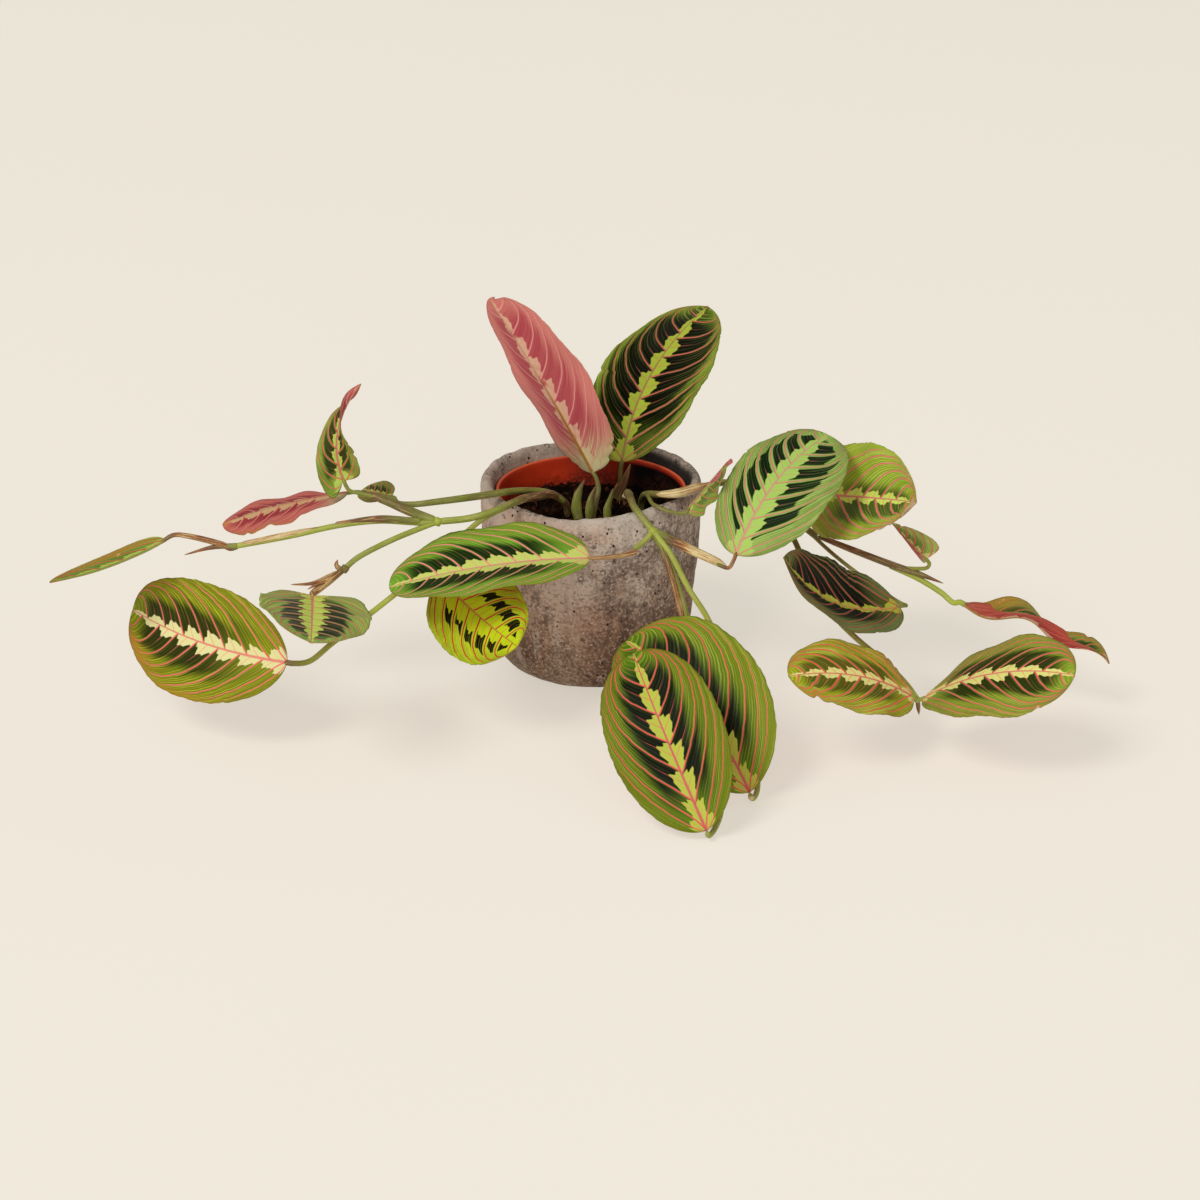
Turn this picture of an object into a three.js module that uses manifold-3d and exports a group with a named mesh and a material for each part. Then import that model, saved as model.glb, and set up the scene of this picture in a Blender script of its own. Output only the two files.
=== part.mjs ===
import * as THREE from "three";
import { mergeVertices } from "three/addons/utils/BufferGeometryUtils.js";
import Module from "manifold-3d";

// A prayer plant (maranta) in its plastic nursery pot, set in a cement outer pot.
// Millimetres, +Z up, origin at the centre of the outer pot's underside.
// +X is right and +Y is away for someone who stands in front of the plant.

// Driving dimensions of the outer pot
const POT_HEIGHT = 125;
const RIM_RADIUS = 69;
const RIM_WALL = 8;
const LIP_ROUND = 6;
const FOOT_RADIUS = 36;
const FOOT_ROUND = 25.5;
const POT_BOW = 1;
const FLOOR_THICKNESS = 10;
const CAVITY_FLOOR_RADIUS = 45;
const CAVITY_FILLET = 5;
const CAVITY_WAIST_RADIUS = 59;
const CAVITY_WAIST_HEIGHT = 69;
const POT_SIDES = 44;

// Driving dimensions of the nursery pot
const NURSERY_TOP = 117;
const NURSERY_RIM_RADIUS = 59;
const NURSERY_FOOT_RADIUS = 43;
const NURSERY_WALL = 1.6;
const NURSERY_BAND = 9;
const NURSERY_BAND_STEP = 1.4;
const NURSERY_SIDES = 36;
const DRAIN_RADIUS = 4;
const DRAIN_RING = 26;
const DRAIN_COUNT = 6;
const DRAIN_LENGTH = 10;
const EDGE_BREAK = 0.6;
const INNER_STEP = 2;

// Soil, stems and blades
const SOIL_TOP = 98;
const SOIL_CROWN = 1.5;
const SOIL_ROUGHNESS = 1.1;
const SOIL_SIDES = 30;
const SOIL_EDGE = 0.4;
const ROOT_DEPTH = 12;
const HOLE_CLEARANCE = 0.6;
const HOLE_SIDES = 8;
const SEAT_GAP = 0.3;
const STEM_SIDES = 6;
const STALK_STEP = 10;
const THICK_STEM = 2.1;
const THIN_STEM = 1.7;
const PETIOLE = 1.2;
const DRY_STALK = 0.9;
const SHEATH_POINT = 0.4;
const NODE_SWELLING = 3;
const SMALL_SWELLING = 2.2;
const KNOT_SIDES = 7;
const KNOT_ROWS = 5;
const PETIOLE_GAP = 0.4;
const RUN_HEIGHT = 2.3;
const BLADE_THICKNESS = 0.9;
const BLADE_ROWS = 12;
const BLADE_COLUMNS = 4;
const NECK_HALF_WIDTH = 1.2;
const OVAL_ROUNDNESS = 2.15;
const OVAL_BLUNTNESS = 0.52;
const MIDRIB_STEPS = 32;
const EDGE_WAVE = 1.3;
const WAVES_PER_BLADE = 2.6;

const colours = {
  cement: [0x8d8279, 0.95],
  terracotta: [0xc4522e, 0.55],
  soil: [0x2e1c14, 1],
  stem: [0x7f8a3c, 0.6],
  leaf: [0x567a2c, 0.5],
  underside: [0xb05a60, 0.6],
};

const degrees = THREE.MathUtils.degToRad;
const vector = (list) => new THREE.Vector3(...list);

const wasm = await Module();
wasm.setup();

// A closed surface with one vertex for each corner, and no flattened triangles
function tidy(geometry) {
  geometry.deleteAttribute("normal");
  geometry.deleteAttribute("uv");
  const merged = mergeVertices(geometry, 1e-3);
  const corners = merged.index.array;
  const kept = [];
  for (let i = 0; i < corners.length; i += 3) {
    const [a, b, c] = corners.slice(i, i + 3);
    if (a !== b && b !== c && c !== a) kept.push(a, b, c);
  }
  merged.setIndex(kept);
  return merged;
}

function solid(geometry) {
  const closed = tidy(geometry);
  return new wasm.Manifold(new wasm.Mesh({
    numProp: 3,
    vertProperties: new Float32Array(closed.attributes.position.array),
    triVerts: new Uint32Array(closed.index.array),
  }));
}

function geometryOf(body) {
  const mesh = body.getMesh();
  const geometry = new THREE.BufferGeometry();
  geometry.setAttribute("position", new THREE.BufferAttribute(mesh.vertProperties, 3));
  geometry.setIndex(Array.from(mesh.triVerts));
  return geometry;
}

function fused(geometries) {
  const bodies = geometries.map(solid);
  return geometryOf(bodies.reduce((whole, body) => whole.add(body)));
}

function turned(profile, sides) {
  const points = profile.map(([radius, height]) => new THREE.Vector2(radius, height));
  return new THREE.LatheGeometry(points, sides).rotateX(Math.PI / 2);
}

function surfaceOf(points, index) {
  const place = points.flatMap(({ x, y, z }) => [x, y, z]);
  const geometry = new THREE.BufferGeometry();
  geometry.setAttribute("position", new THREE.Float32BufferAttribute(place, 3));
  geometry.setIndex(index);
  return geometry;
}

// Rings of vertices joined into a closed skin, with a fan over each end
function skin(rings) {
  const sides = rings[0].length;
  const middle = (ring) => {
    const sum = ring.reduce((total, point) => total.add(point), new THREE.Vector3());
    return sum.divideScalar(sides);
  };
  const points = [...rings.flat(), middle(rings[0]), middle(rings.at(-1))];
  const first = rings.length * sides;
  const last = first + 1;
  const end = (rings.length - 1) * sides;
  const index = [];
  for (let k = 0; k < sides; k++) {
    const next = (k + 1) % sides;
    for (let i = 0; i < rings.length - 1; i++) {
      const a = i * sides + k;
      const b = i * sides + next;
      index.push(a, b, b + sides, a, b + sides, a + sides);
    }
    index.push(first, next, k, last, end + k, end + next);
  }
  return surfaceOf(points, index);
}

// Pots and soil

// The profile runs up the outside, over the round lip and down the inside
function outerPot() {
  const wallFoot = FOOT_RADIUS + FOOT_ROUND;
  const lipFoot = POT_HEIGHT - LIP_ROUND;
  const profile = [[0, 0]];
  for (const angle of [0, 20, 40, 60, 90]) {
    const turn = degrees(angle);
    profile.push([FOOT_RADIUS + FOOT_ROUND * Math.sin(turn), FOOT_ROUND * (1 - Math.cos(turn))]);
  }
  for (const part of [0.25, 0.5, 0.75, 1]) {
    const bow = 4 * POT_BOW * part * (1 - part);
    const radius = wallFoot + (RIM_RADIUS - wallFoot) * part + bow;
    profile.push([radius, FOOT_ROUND + (lipFoot - FOOT_ROUND) * part]);
  }
  const lipCentre = RIM_RADIUS - RIM_WALL / 2;
  for (const angle of [35, 65, 90, 115, 145, 180]) {
    const turn = degrees(angle);
    profile.push([lipCentre + Math.cos(turn) * (RIM_WALL / 2), lipFoot + LIP_ROUND * Math.sin(turn)]);
  }
  profile.push([CAVITY_WAIST_RADIUS, CAVITY_WAIST_HEIGHT]);
  profile.push([CAVITY_FLOOR_RADIUS + CAVITY_FILLET, FLOOR_THICKNESS + 2 * CAVITY_FILLET]);
  profile.push([CAVITY_FLOOR_RADIUS, FLOOR_THICKNESS], [0, FLOOR_THICKNESS]);
  return geometryOf(solid(turned(profile, POT_SIDES)));
}

const nurseryFloor = FLOOR_THICKNESS + SEAT_GAP;

function nurseryRadius(height) {
  const part = (height - nurseryFloor) / (NURSERY_TOP - nurseryFloor);
  const bandFoot = NURSERY_RIM_RADIUS - NURSERY_BAND_STEP;
  return NURSERY_FOOT_RADIUS + (bandFoot - NURSERY_FOOT_RADIUS) * part;
}

function nurseryPot() {
  const bandFoot = NURSERY_TOP - NURSERY_BAND;
  const insideFloor = nurseryFloor + NURSERY_WALL;
  const profile = [
    [0, nurseryFloor],
    [NURSERY_FOOT_RADIUS, nurseryFloor],
    [nurseryRadius(bandFoot), bandFoot],
    [nurseryRadius(bandFoot) + NURSERY_BAND_STEP, bandFoot + EDGE_BREAK],
    [NURSERY_RIM_RADIUS, NURSERY_TOP - EDGE_BREAK],
    [NURSERY_RIM_RADIUS - EDGE_BREAK, NURSERY_TOP],
    [NURSERY_RIM_RADIUS - NURSERY_WALL - EDGE_BREAK, NURSERY_TOP],
    [nurseryRadius(bandFoot) - NURSERY_WALL, bandFoot - INNER_STEP],
    [NURSERY_FOOT_RADIUS - NURSERY_WALL, insideFloor],
    [0, insideFloor],
  ];
  let pot = solid(turned(profile, NURSERY_SIDES));
  for (let k = 0; k < DRAIN_COUNT; k++) {
    const angle = (2 * Math.PI * k) / DRAIN_COUNT;
    const drain = new THREE.CylinderGeometry(DRAIN_RADIUS, DRAIN_RADIUS, DRAIN_LENGTH, HOLE_SIDES);
    drain.rotateX(Math.PI / 2);
    drain.translate(DRAIN_RING * Math.cos(angle), DRAIN_RING * Math.sin(angle), nurseryFloor);
    pot = pot.subtract(solid(drain));
  }
  return geometryOf(pot);
}

// Earth with a lumpy top, drilled where each stem stands. Waves of about 20 and 30 mm make the lumps.
function soil(roots) {
  const foot = nurseryFloor + NURSERY_WALL + SEAT_GAP;
  const inside = (height) => nurseryRadius(height) - NURSERY_WALL - SEAT_GAP - SOIL_EDGE;
  const profile = [[0, foot], [inside(foot) - EDGE_BREAK, foot], [inside(SOIL_TOP), SOIL_TOP]];
  for (const part of [0.85, 0.65, 0.45, 0.25, 0]) {
    profile.push([inside(SOIL_TOP) * part, SOIL_TOP + SOIL_CROWN]);
  }
  const bed = turned(profile, SOIL_SIDES);
  const place = bed.attributes.position;
  for (let i = 0; i < place.count; i++) {
    if (place.getZ(i) <= SOIL_TOP) continue;
    const [x, y] = [place.getX(i), place.getY(i)];
    const lump = Math.sin(x * 0.31 + 1.3) * Math.cos(y * 0.27) + 0.6 * Math.sin(x * 0.11 - y * 0.19);
    place.setZ(i, place.getZ(i) + SOIL_ROUGHNESS * lump);
  }
  let body = solid(bed);
  const holeFoot = SOIL_TOP - ROOT_DEPTH - SEAT_GAP;
  const drillLength = 2 * ROOT_DEPTH;
  for (const { at: [x, y], radius } of roots) {
    const hole = (radius + HOLE_CLEARANCE) / Math.cos(Math.PI / HOLE_SIDES);
    const drill = new THREE.CylinderGeometry(hole, hole, drillLength, HOLE_SIDES).rotateX(Math.PI / 2);
    body = body.subtract(solid(drill.translate(x, y, holeFoot + drillLength / 2)));
  }
  return geometryOf(body);
}

// Blades

// One entry for each blade. base is where its stalk ends. heading is the compass direction of
// the midrib there (0 = +X, 90 = +Y), which veers towards the tip, and rise is its slope, which
// droops. roll turns the blade about its midrib and twist adds to it towards the tip.
// folds lift the left and the right half. widest under 1 puts the widest place nearer the base,
// and lean gives the left half more width than the right. A few blades also have a late twist,
// which stays near the tip, a sway that makes the midrib rise and dip twice, lobes that reach
// back past the base, and a ripple of their own: its height, its waves along the blade and its phase.
const blades = [
  { name: "leaf_up_left", base: [1, 0, 127], heading: 161, rise: 61, droop: 5, veer: 5, roll: -60,
    twist: 1, length: 125, width: 69, folds: [10, 12], widest: 0.78, lean: 0.05, underside: true },
  { name: "leaf_up_right", base: [19, 24, 125], heading: -24, rise: 82, droop: 40, veer: -7, roll: -128,
    twist: -15, length: 127, width: 71, folds: [8, 5], widest: 1, lean: 0.02 },
  { name: "leaf_left_curl", base: [-146, -78, 151], heading: 0, rise: 110, droop: 62, veer: 0, roll: -92,
    twist: 200, late: 2.4, length: 65, width: 29, folds: [12, 30], widest: 0.52, lean: -0.08, lobes: [14, 0],
    point: 0.75 },
  { name: "leaf_left_pink", base: [-145, -64, 138], heading: 177, rise: -9, droop: 13, veer: 4, roll: -187,
    twist: 21, length: 79, width: 44, folds: [9, 6], widest: 0.96, lean: 0, underside: true },
  { name: "leaf_left_back", base: [-120, -60, 134], heading: 129, rise: -6, droop: 5, veer: -4, roll: 24,
    twist: 0, length: 31, width: 20, folds: [7, 7], widest: 0.93, lean: 0,
    ripple: [0.4, 1.5, 1] },
  { name: "leaf_left_far", base: [-252, -92, 119], heading: 197, rise: -25, droop: -18, veer: -5, roll: -4,
    twist: -5, length: 72, width: 34, folds: [13, 13], widest: 0.93, lean: 0.03,
    ripple: [0.4, 1, 0], point: 0.35 },
  { name: "leaf_left_big", base: [-178, -135, 59], heading: 160, rise: -1, droop: -9, veer: -25, roll: 59,
    twist: 14, length: 118, width: 71, folds: [9, 10], widest: 1.03, lean: -0.02 },
  { name: "leaf_left_middle", base: [-164, -110, 91], heading: -85, rise: 9, droop: 2, veer: -1, roll: 8,
    twist: 9, length: 102, width: 66, folds: [9, 9], widest: 0.92, lean: 0.03 },
  { name: "leaf_front_long", base: [-1, -98, 110], heading: 184, rise: 1, droop: 18, veer: -3, roll: 8,
    twist: 10, length: 120, width: 68, folds: [10, 10], widest: 0.8, lean: 0 },
  { name: "leaf_front_round", base: [-91, -74, 87], heading: -49, rise: -21, droop: -21, veer: -10,
    roll: -48, twist: 4, length: 84, width: 57, folds: [2, 5], widest: 0.98, lean: 0 },
  { name: "leaf_right_big", base: [86, -86, 107], heading: 58, rise: 47, droop: 42, veer: -10, roll: -13,
    twist: 3, length: 111, width: 66, folds: [4, 4], widest: 0.98, lean: -0.16 },
  { name: "leaf_right_back", base: [143, -5, 114], heading: -47, rise: 14, droop: -3, veer: -23, roll: -55,
    twist: -7, length: 98, width: 67, folds: [21, 20], widest: 0.7, lean: 0 },
  { name: "leaf_right_small", base: [58, -65, 128], heading: 55, rise: 21, droop: 9, veer: 8, roll: -110,
    twist: -3, length: 50, width: 32, folds: [22, 18], widest: 0.96, lean: 0 },
  { name: "leaf_right_dark", base: [185, -82, 72], heading: 206, rise: -2, droop: -63, veer: -8, roll: 27,
    twist: 4, length: 94, width: 56, folds: [15, 15], widest: 0.94, lean: 0 },
  { name: "leaf_right_curl", base: [202, -61.5, 94], heading: 176, rise: 46, droop: -2, veer: 0, roll: 80,
    twist: -12, length: 31, width: 22, folds: [76, 24], widest: 0.42, lean: -0.2, point: 0.5 },
  { name: "leaf_right_far", base: [225, -72, 69], heading: -8, rise: -8, droop: 22, veer: -8, roll: 19,
    twist: -4, length: 99, width: 44, folds: [22, 24], widest: 0.8, lean: 0.02, sway: 26,
    ripple: [4, 1.8, 5], point: 0.3 },
  { name: "leaf_low_left", base: [190, -133, 36], heading: 206, rise: 38, droop: 39, veer: -7, roll: 32,
    twist: -6, length: 88, width: 54, folds: [0, 1], widest: 0.99, lean: 0.04 },
  { name: "leaf_low_right", base: [196, -133, 35], heading: -29, rise: 40, droop: 38, veer: -2, roll: -9,
    twist: -34, length: 102, width: 62, folds: [-3, -3], widest: 1.05, lean: -0.07 },
  { name: "leaf_ground_back", base: [91, -203, 8], heading: 123, rise: 45, droop: 35, veer: 13, roll: 35,
    twist: -9, length: 126, width: 79, folds: [14, 14], widest: 1.13, lean: -0.08 },
  { name: "leaf_ground_front", base: [65, -249, 7], heading: 122, rise: 43, droop: 8, veer: -10, roll: 37,
    twist: -7, length: 116, width: 69, folds: [12, 13], widest: 1.03, lean: -0.03 },
];

// The midrib's direction, the blade's right-hand direction and its upper normal, part of the way along
function bladeFrame(blade, part) {
  const heading = degrees(blade.heading + blade.veer * part);
  const sway = (blade.sway ?? 0) * Math.sin(4 * Math.PI * part - 2);
  const rise = degrees(blade.rise - blade.droop * part + sway);
  const roll = degrees(blade.roll + blade.twist * part ** (blade.late ?? 1));
  const level = Math.cos(rise);
  const along = vector([level * Math.cos(heading), level * Math.sin(heading), Math.sin(rise)]);
  const side = vector([Math.sin(heading), -Math.cos(heading), 0]);
  const upper = side.clone().cross(along);
  return {
    along,
    right: side.clone().multiplyScalar(Math.cos(roll)).addScaledVector(upper, Math.sin(roll)),
    up: upper.clone().multiplyScalar(Math.cos(roll)).addScaledVector(side, -Math.sin(roll)),
  };
}

// The midrib is summed up from short steps, each in the direction of its own middle
function midrib(blade, part) {
  const point = vector(blade.base);
  for (let i = 0; i < MIDRIB_STEPS; i++) {
    const middle = (part * (i + 0.5)) / MIDRIB_STEPS;
    point.addScaledVector(bladeFrame(blade, middle).along, (blade.length * part) / MIDRIB_STEPS);
  }
  return point;
}

// A point of the blade's middle surface: part runs from base to tip, and across from -1 to 1
function bladePoint(blade, part, across, order) {
  const { along, right, up } = bladeFrame(blade, part);
  const side = across > 0 ? 1 : 0;
  const taper = 1 - (blade.point ?? 0) * part ** 2;
  const offMiddle = Math.abs(2 * part ** blade.widest - 1);
  const outline = taper * Math.max(0, 1 - offMiddle ** OVAL_ROUNDNESS) ** OVAL_BLUNTNESS;
  const lean = side ? 1 - blade.lean : 1 + blade.lean;
  const reach = Math.max((blade.width / 2) * outline * lean, NECK_HALF_WIDTH) * across;
  const fold = degrees(blade.folds[side]);
  const [height, waves, phase] = blade.ripple ?? [EDGE_WAVE, WAVES_PER_BLADE, order * 1.7];
  const wave = height * across ** 2 * outline * Math.sin(2 * Math.PI * waves * part + phase + side * 2);
  const lobe = (blade.lobes?.[side] ?? 0) * across ** 2 * outline * (1 - part) ** 2;
  const middle = midrib(blade, part).addScaledVector(along, -lobe);
  middle.addScaledVector(right, reach * Math.cos(fold));
  return middle.addScaledVector(up, Math.abs(reach) * Math.sin(fold) + wave);
}

function bladeGeometry(blade, order) {
  const points = [];
  for (const face of [1, -1]) {
    for (let i = 0; i <= BLADE_ROWS; i++) {
      const part = (1 - Math.cos((Math.PI * i) / BLADE_ROWS)) / 2;
      const { up } = bladeFrame(blade, part);
      for (let k = 0; k <= BLADE_COLUMNS; k++) {
        const point = bladePoint(blade, part, (2 * k) / BLADE_COLUMNS - 1, order);
        points.push(point.addScaledVector(up, (face * BLADE_THICKNESS) / 2));
      }
    }
  }
  const row = BLADE_COLUMNS + 1;
  const under = row * (BLADE_ROWS + 1);
  const index = [];
  const quad = (a, b, c, d) => index.push(a, b, c, a, c, d);
  for (let i = 0; i < BLADE_ROWS; i++) {
    for (let k = 0; k < BLADE_COLUMNS; k++) {
      const a = i * row + k;
      quad(a, a + 1, a + row + 1, a + row);
      index.push(under + a, under + a + row + 1, under + a + 1);
      index.push(under + a, under + a + row, under + a + row + 1);
    }
  }
  for (let i = 0; i < BLADE_ROWS; i++) {
    const left = i * row;
    const right = left + BLADE_COLUMNS;
    quad(left, left + row, under + left + row, under + left);
    quad(right, under + right, under + right + row, right + row);
  }
  for (let k = 0; k < BLADE_COLUMNS; k++) {
    const tip = BLADE_ROWS * row + k;
    quad(k, under + k, under + k + 1, k + 1);
    quad(tip, tip + 1, under + tip + 1, under + tip);
  }
  return surfaceOf(points, index);
}

// Stems

const bladeNamed = Object.fromEntries(blades.map((blade) => [blade.name, blade]));

// The last two points of a petiole, which runs straight into the base of its blade
function into(name, run = 6) {
  const blade = bladeNamed[name];
  const { along } = bladeFrame(blade, 0);
  return [run, PETIOLE_GAP].map((gap) => vector(blade.base).addScaledVector(along, -gap).toArray());
}

const routeOf = (points) => new THREE.CatmullRomCurve3(points.map(vector), false, "centripetal");

const ringAngles = Array.from({ length: STEM_SIDES }, (_, k) => (2 * Math.PI * k) / STEM_SIDES);

// A tube of one radius along a route
function stalk(points, radius, stepLength = STALK_STEP) {
  const extrudePath = routeOf(points);
  const section = ringAngles.map((a) => new THREE.Vector2(radius * Math.cos(a), radius * Math.sin(a)));
  const steps = Math.max(4, Math.round(extrudePath.getLength() / stepLength));
  return new THREE.ExtrudeGeometry(new THREE.Shape(section), { steps, extrudePath, bevelEnabled: false });
}

// A sheath, bract or torn end: a tube whose radius changes from point to point
function sheath(points, radii) {
  const route = routeOf(points);
  const steps = 2 * (points.length - 1);
  const { normals, binormals } = route.computeFrenetFrames(steps, false);
  const rings = [];
  for (let i = 0; i <= steps; i++) {
    const place = (i / steps) * (radii.length - 1);
    const before = Math.min(Math.floor(place), radii.length - 2);
    const radius = THREE.MathUtils.lerp(radii[before], radii[before + 1], place - before);
    const centre = route.getPoint(i / steps);
    rings.push(ringAngles.map((angle) => centre.clone()
      .addScaledVector(normals[i], radius * Math.cos(angle))
      .addScaledVector(binormals[i], radius * Math.sin(angle))));
  }
  return skin(rings);
}

// The swelling at a node
function knot([x, y, z], radius = NODE_SWELLING) {
  return new THREE.SphereGeometry(radius, KNOT_SIDES, KNOT_ROWS).translate(x, y, z);
}

// A stem goes straight down its hole in the soil
const rooted = ([x, y]) => [[x, y, SOIL_TOP - ROOT_DEPTH], [x, y, SOIL_TOP + 5]];

const roots = {
  upLeft: { at: [-3, -8], radius: 6 },
  upRight: { at: [17, 28], radius: 3.6 },
  bud: { at: [10, -7], radius: 2.6 },
  left: { at: [-15, 2], radius: 2.4 },
  front: { at: [22, 14], radius: 2.4 },
  right: { at: [31, 9], radius: 2.4 },
};

// The two petioles that stand in the pot, with the pointed sheaths round their feet
function petioleUpLeft() {
  const [x, y] = roots.upLeft.at;
  const foot = SOIL_TOP - ROOT_DEPTH;
  const petiole = [[1, -8, foot + 2], [1, -8, SOIL_TOP + 3], [3, -6, 110], [4.4, -2.5, 117]];
  return fused([
    sheath([[x, y, foot], [x, y, SOIL_TOP - 2], [x, y, SOIL_TOP + 3]], [4, 5.5, 4]),
    stalk([...petiole, ...into("leaf_up_left", 5)], PETIOLE),
    sheath([[-6, -8, SOIL_TOP - 4], [-8, -8, 107], [-5, -7, 120]], [2.4, 2.8, SHEATH_POINT]),
    sheath([[0, -9, SOIL_TOP - 4], [0, -10, 106], [2.5, -9, 116]], [2.4, 2.6, SHEATH_POINT]),
  ]);
}

function petioleUpRight() {
  const foot = rooted(roots.upRight.at);
  return fused([
    stalk([...foot, [18, 27, 111], ...into("leaf_up_right")], PETIOLE),
    sheath([...foot, [19, 27, 108], [23, 25, 119]], [2.6, 3.4, 2.6, SHEATH_POINT]),
  ]);
}

function budSheath() {
  return sheath([...rooted(roots.bud.at), [10, -7, 106], [12.5, -6, 115]], [2, 2.6, 2.4, SHEATH_POINT]);
}

// The stem to the left goes over the rim to a node, which three branches leave
function stemLeft() {
  const node = [-91, -80, 126];
  const bractNode = [-145, -105, 106];
  const fork = [-124, -76, 139];
  const main = [...rooted(roots.left.at), [-18, -2, 109], [-24, -10, 116], [-32, -28, 122],
    [-41, -48, 128], [-48, -57, 128.4], [-57, -66, 127.5], [-72, -73, 125.5], node];
  const upper = [[-22, -7, 114], [-27, -11, 118], [-42, -25, 124.5], [-55, -38, 128.2],
    [-68, -47, 129.5], [-91, -57, 130], [-108, -62, 130], [-116, -64, 132]];
  const far = [node, [-101, -82, 126], [-125, -84, 128], [-149, -86, 126], [-178, -88, 120],
    [-212, -90, 114]];
  const farPetiole = [[-208, -90, 114.6], [-213, -90.5, 113.2], [-219, -91, 116], [-238, -92, 121.5]];
  const lower = [[-56, -65, 127], [-62, -61, 122], [-68, -56, 116], [-78, -57, 107], [-91, -68, 98],
    [-116, -98, 87], [-129, -106, 79], [-153, -122, 65], [-165, -132, 58.5]];
  return fused([
    stalk(main, THICK_STEM),
    stalk([...upper, ...into("leaf_left_back", 4)], THIN_STEM),
    knot(node),
    sheath([node, [-107, -79, 132], fork, [-136, -75, 142.5]], [2.6, 3, 3, 1.2]),
    stalk([fork, [-136, -76.5, 142.5], [-143, -78, 145], ...into("leaf_left_curl", 4)], PETIOLE, 4),
    stalk([fork, [-133, -69, 139.5], ...into("leaf_left_pink", 5)], PETIOLE, 4),
    stalk(far, THIN_STEM),
    sheath([[-100, -82, 126.5], [-125, -84, 129], [-152, -86, 126.5]], [2.4, 2.6, THIN_STEM]),
    stalk([...farPetiole, ...into("leaf_left_far")], PETIOLE),
    sheath([[-208, -90, 114.6], [-224, -91, 114], [-241, -92, 109.5]], [1.8, 1.4, SHEATH_POINT]),
    stalk([node, [-101, -83, 123], [-119, -91, 118], [-138, -101, 111], bractNode], THIN_STEM),
    knot(bractNode),
    stalk([bractNode, [-152, -104, 100], [-161, -101, 91.5], ...into("leaf_left_middle", 5)], PETIOLE, 4),
    sheath([bractNode, [-154, -104, 101], [-162, -100, 98]], [2, 1.6, SHEATH_POINT]),
    stalk([...lower, ...into("leaf_left_big", 5)], THIN_STEM),
    stalk([[-88, -65, 99.5], [-95, -64, 95], ...into("leaf_front_round", 5)], PETIOLE, 4),
  ]);
}

// The stem to the front goes over the rim to a node. Two of its branches hang down to the
// surface that the pot stands on, run along it and turn up into their blades.
function stemFront() {
  const node = [37, -78, 119];
  const main = [...rooted(roots.front.at), [22, 6, 110], [23, -24, 122], [24, -48, 127.8],
    [26, -62, 128], [31, -71, 124.5], node];
  const groundBack = [node, [47, -88, 109], [58, -97, 90], [70, -104, 72], [82, -112, 40], [90, -122, 14],
    [95, -140, 4], [98, -172, RUN_HEIGHT], [99, -198, RUN_HEIGHT], [97, -207, RUN_HEIGHT + 0.5]];
  const groundFront = [node, [44, -85, 108], [52, -90, 88], [58, -95, 68], [63, -104, 38], [67, -118, 12],
    [70, -136, 4], [74, -175, RUN_HEIGHT], [74, -218, RUN_HEIGHT], [72, -244, RUN_HEIGHT],
    [69.5, -252.5, RUN_HEIGHT + 0.5]];
  const winged = [[72, -85, 103.5], [78, -88.5, 100.8], [82, -90.5, 100.6]];
  return fused([
    stalk(main, THICK_STEM),
    knot(node),
    stalk([node, [32, -82, 114.5], [25, -86, 110.5]], THIN_STEM, 4),
    stalk([[26, -85.5, 111], [18, -91, 109], ...into("leaf_front_long")], DRY_STALK),
    sheath([node, [59, -82, 109], [76, -86, 102], [82, -88, 98.5]], [2.4, 2.9, 2.4, SHEATH_POINT]),
    stalk([...winged, ...into("leaf_right_big", 4)], PETIOLE, 4),
    stalk([...groundBack, ...into("leaf_ground_back", 4)], THIN_STEM),
    stalk([...groundFront, ...into("leaf_ground_front", 4)], THIN_STEM),
    sheath([node, [45, -86, 106], [53, -92, 85], [57, -95, 74]], [2.4, 2.6, 2.2, SHEATH_POINT]),
  ]);
}

// The stem to the right goes over the rim and branches behind the big blade
function stemRight() {
  const node = [193, -131, 33];
  const main = [...rooted(roots.right.at), [32, 2, 110], [35, -24, 122], [39, -40, 128], [51, -43, 129],
    [67, -31, 129], [84, -17, 126.5], [102, -19, 120], [122, -20, 106], [139, -26, 94]];
  const small = [[34.5, -20, 120.5], [35, -42, 126.5], [38, -58, 128], [47, -66, 127]];
  const far = [[180, -54, 87.5], [198, -60, 81], [212, -66, 74], [219, -70, 69.3]];
  const dark = [[132, -23, 98.5], [146, -42, 91], [161, -64, 86], [176, -71, 77], [186, -75, 71.5],
    [189.5, -78, 71]];
  const low = [[113, -19.5, 113], [119, -32, 106], [124, -50, 100], [132, -71, 88], [146, -90, 69],
    [158, -99, 59], [175, -108, 47], [187, -119, 38], node];
  return fused([
    stalk(main, THICK_STEM),
    sheath([[39, -42, 128.6], [52, -43, 129.8], [64, -35, 130.5], [72, -30, 131]], [2.2, 3, 2.8, 0.8]),
    stalk([...small, ...into("leaf_right_small", 4)], PETIOLE),
    stalk([[103, -19, 119.5], [118, -12, 118], [131, 1, 112.5], ...into("leaf_right_back")], PETIOLE),
    sheath([[139, -27, 95.5], [158, -42, 93], [180, -54, 88.5], [199, -60.5, 84], [213, -64, 79.5]],
      [2, 2.7, 2.9, 2.4, SHEATH_POINT]),
    stalk([[190, -58, 87], [198, -60, 87.5], [203, -61, 88.5], ...into("leaf_right_curl", 3)], PETIOLE, 4),
    stalk([...far, ...into("leaf_right_far", 3)], THIN_STEM, 6),
    stalk([...dark, ...into("leaf_right_dark", 3)], PETIOLE),
    stalk(low, THIN_STEM),
    knot(node, SMALL_SWELLING),
    stalk([node, ...into("leaf_low_left", 1.5)], PETIOLE, 2),
    stalk([node, ...into("leaf_low_right", 1.5)], PETIOLE, 2),
    sheath([node, [193.5, -132, 28], [194, -133, 24]], [1.8, 1.6, SHEATH_POINT]),
  ]);
}

// The whole plant

const plant = new THREE.Group();

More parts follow.
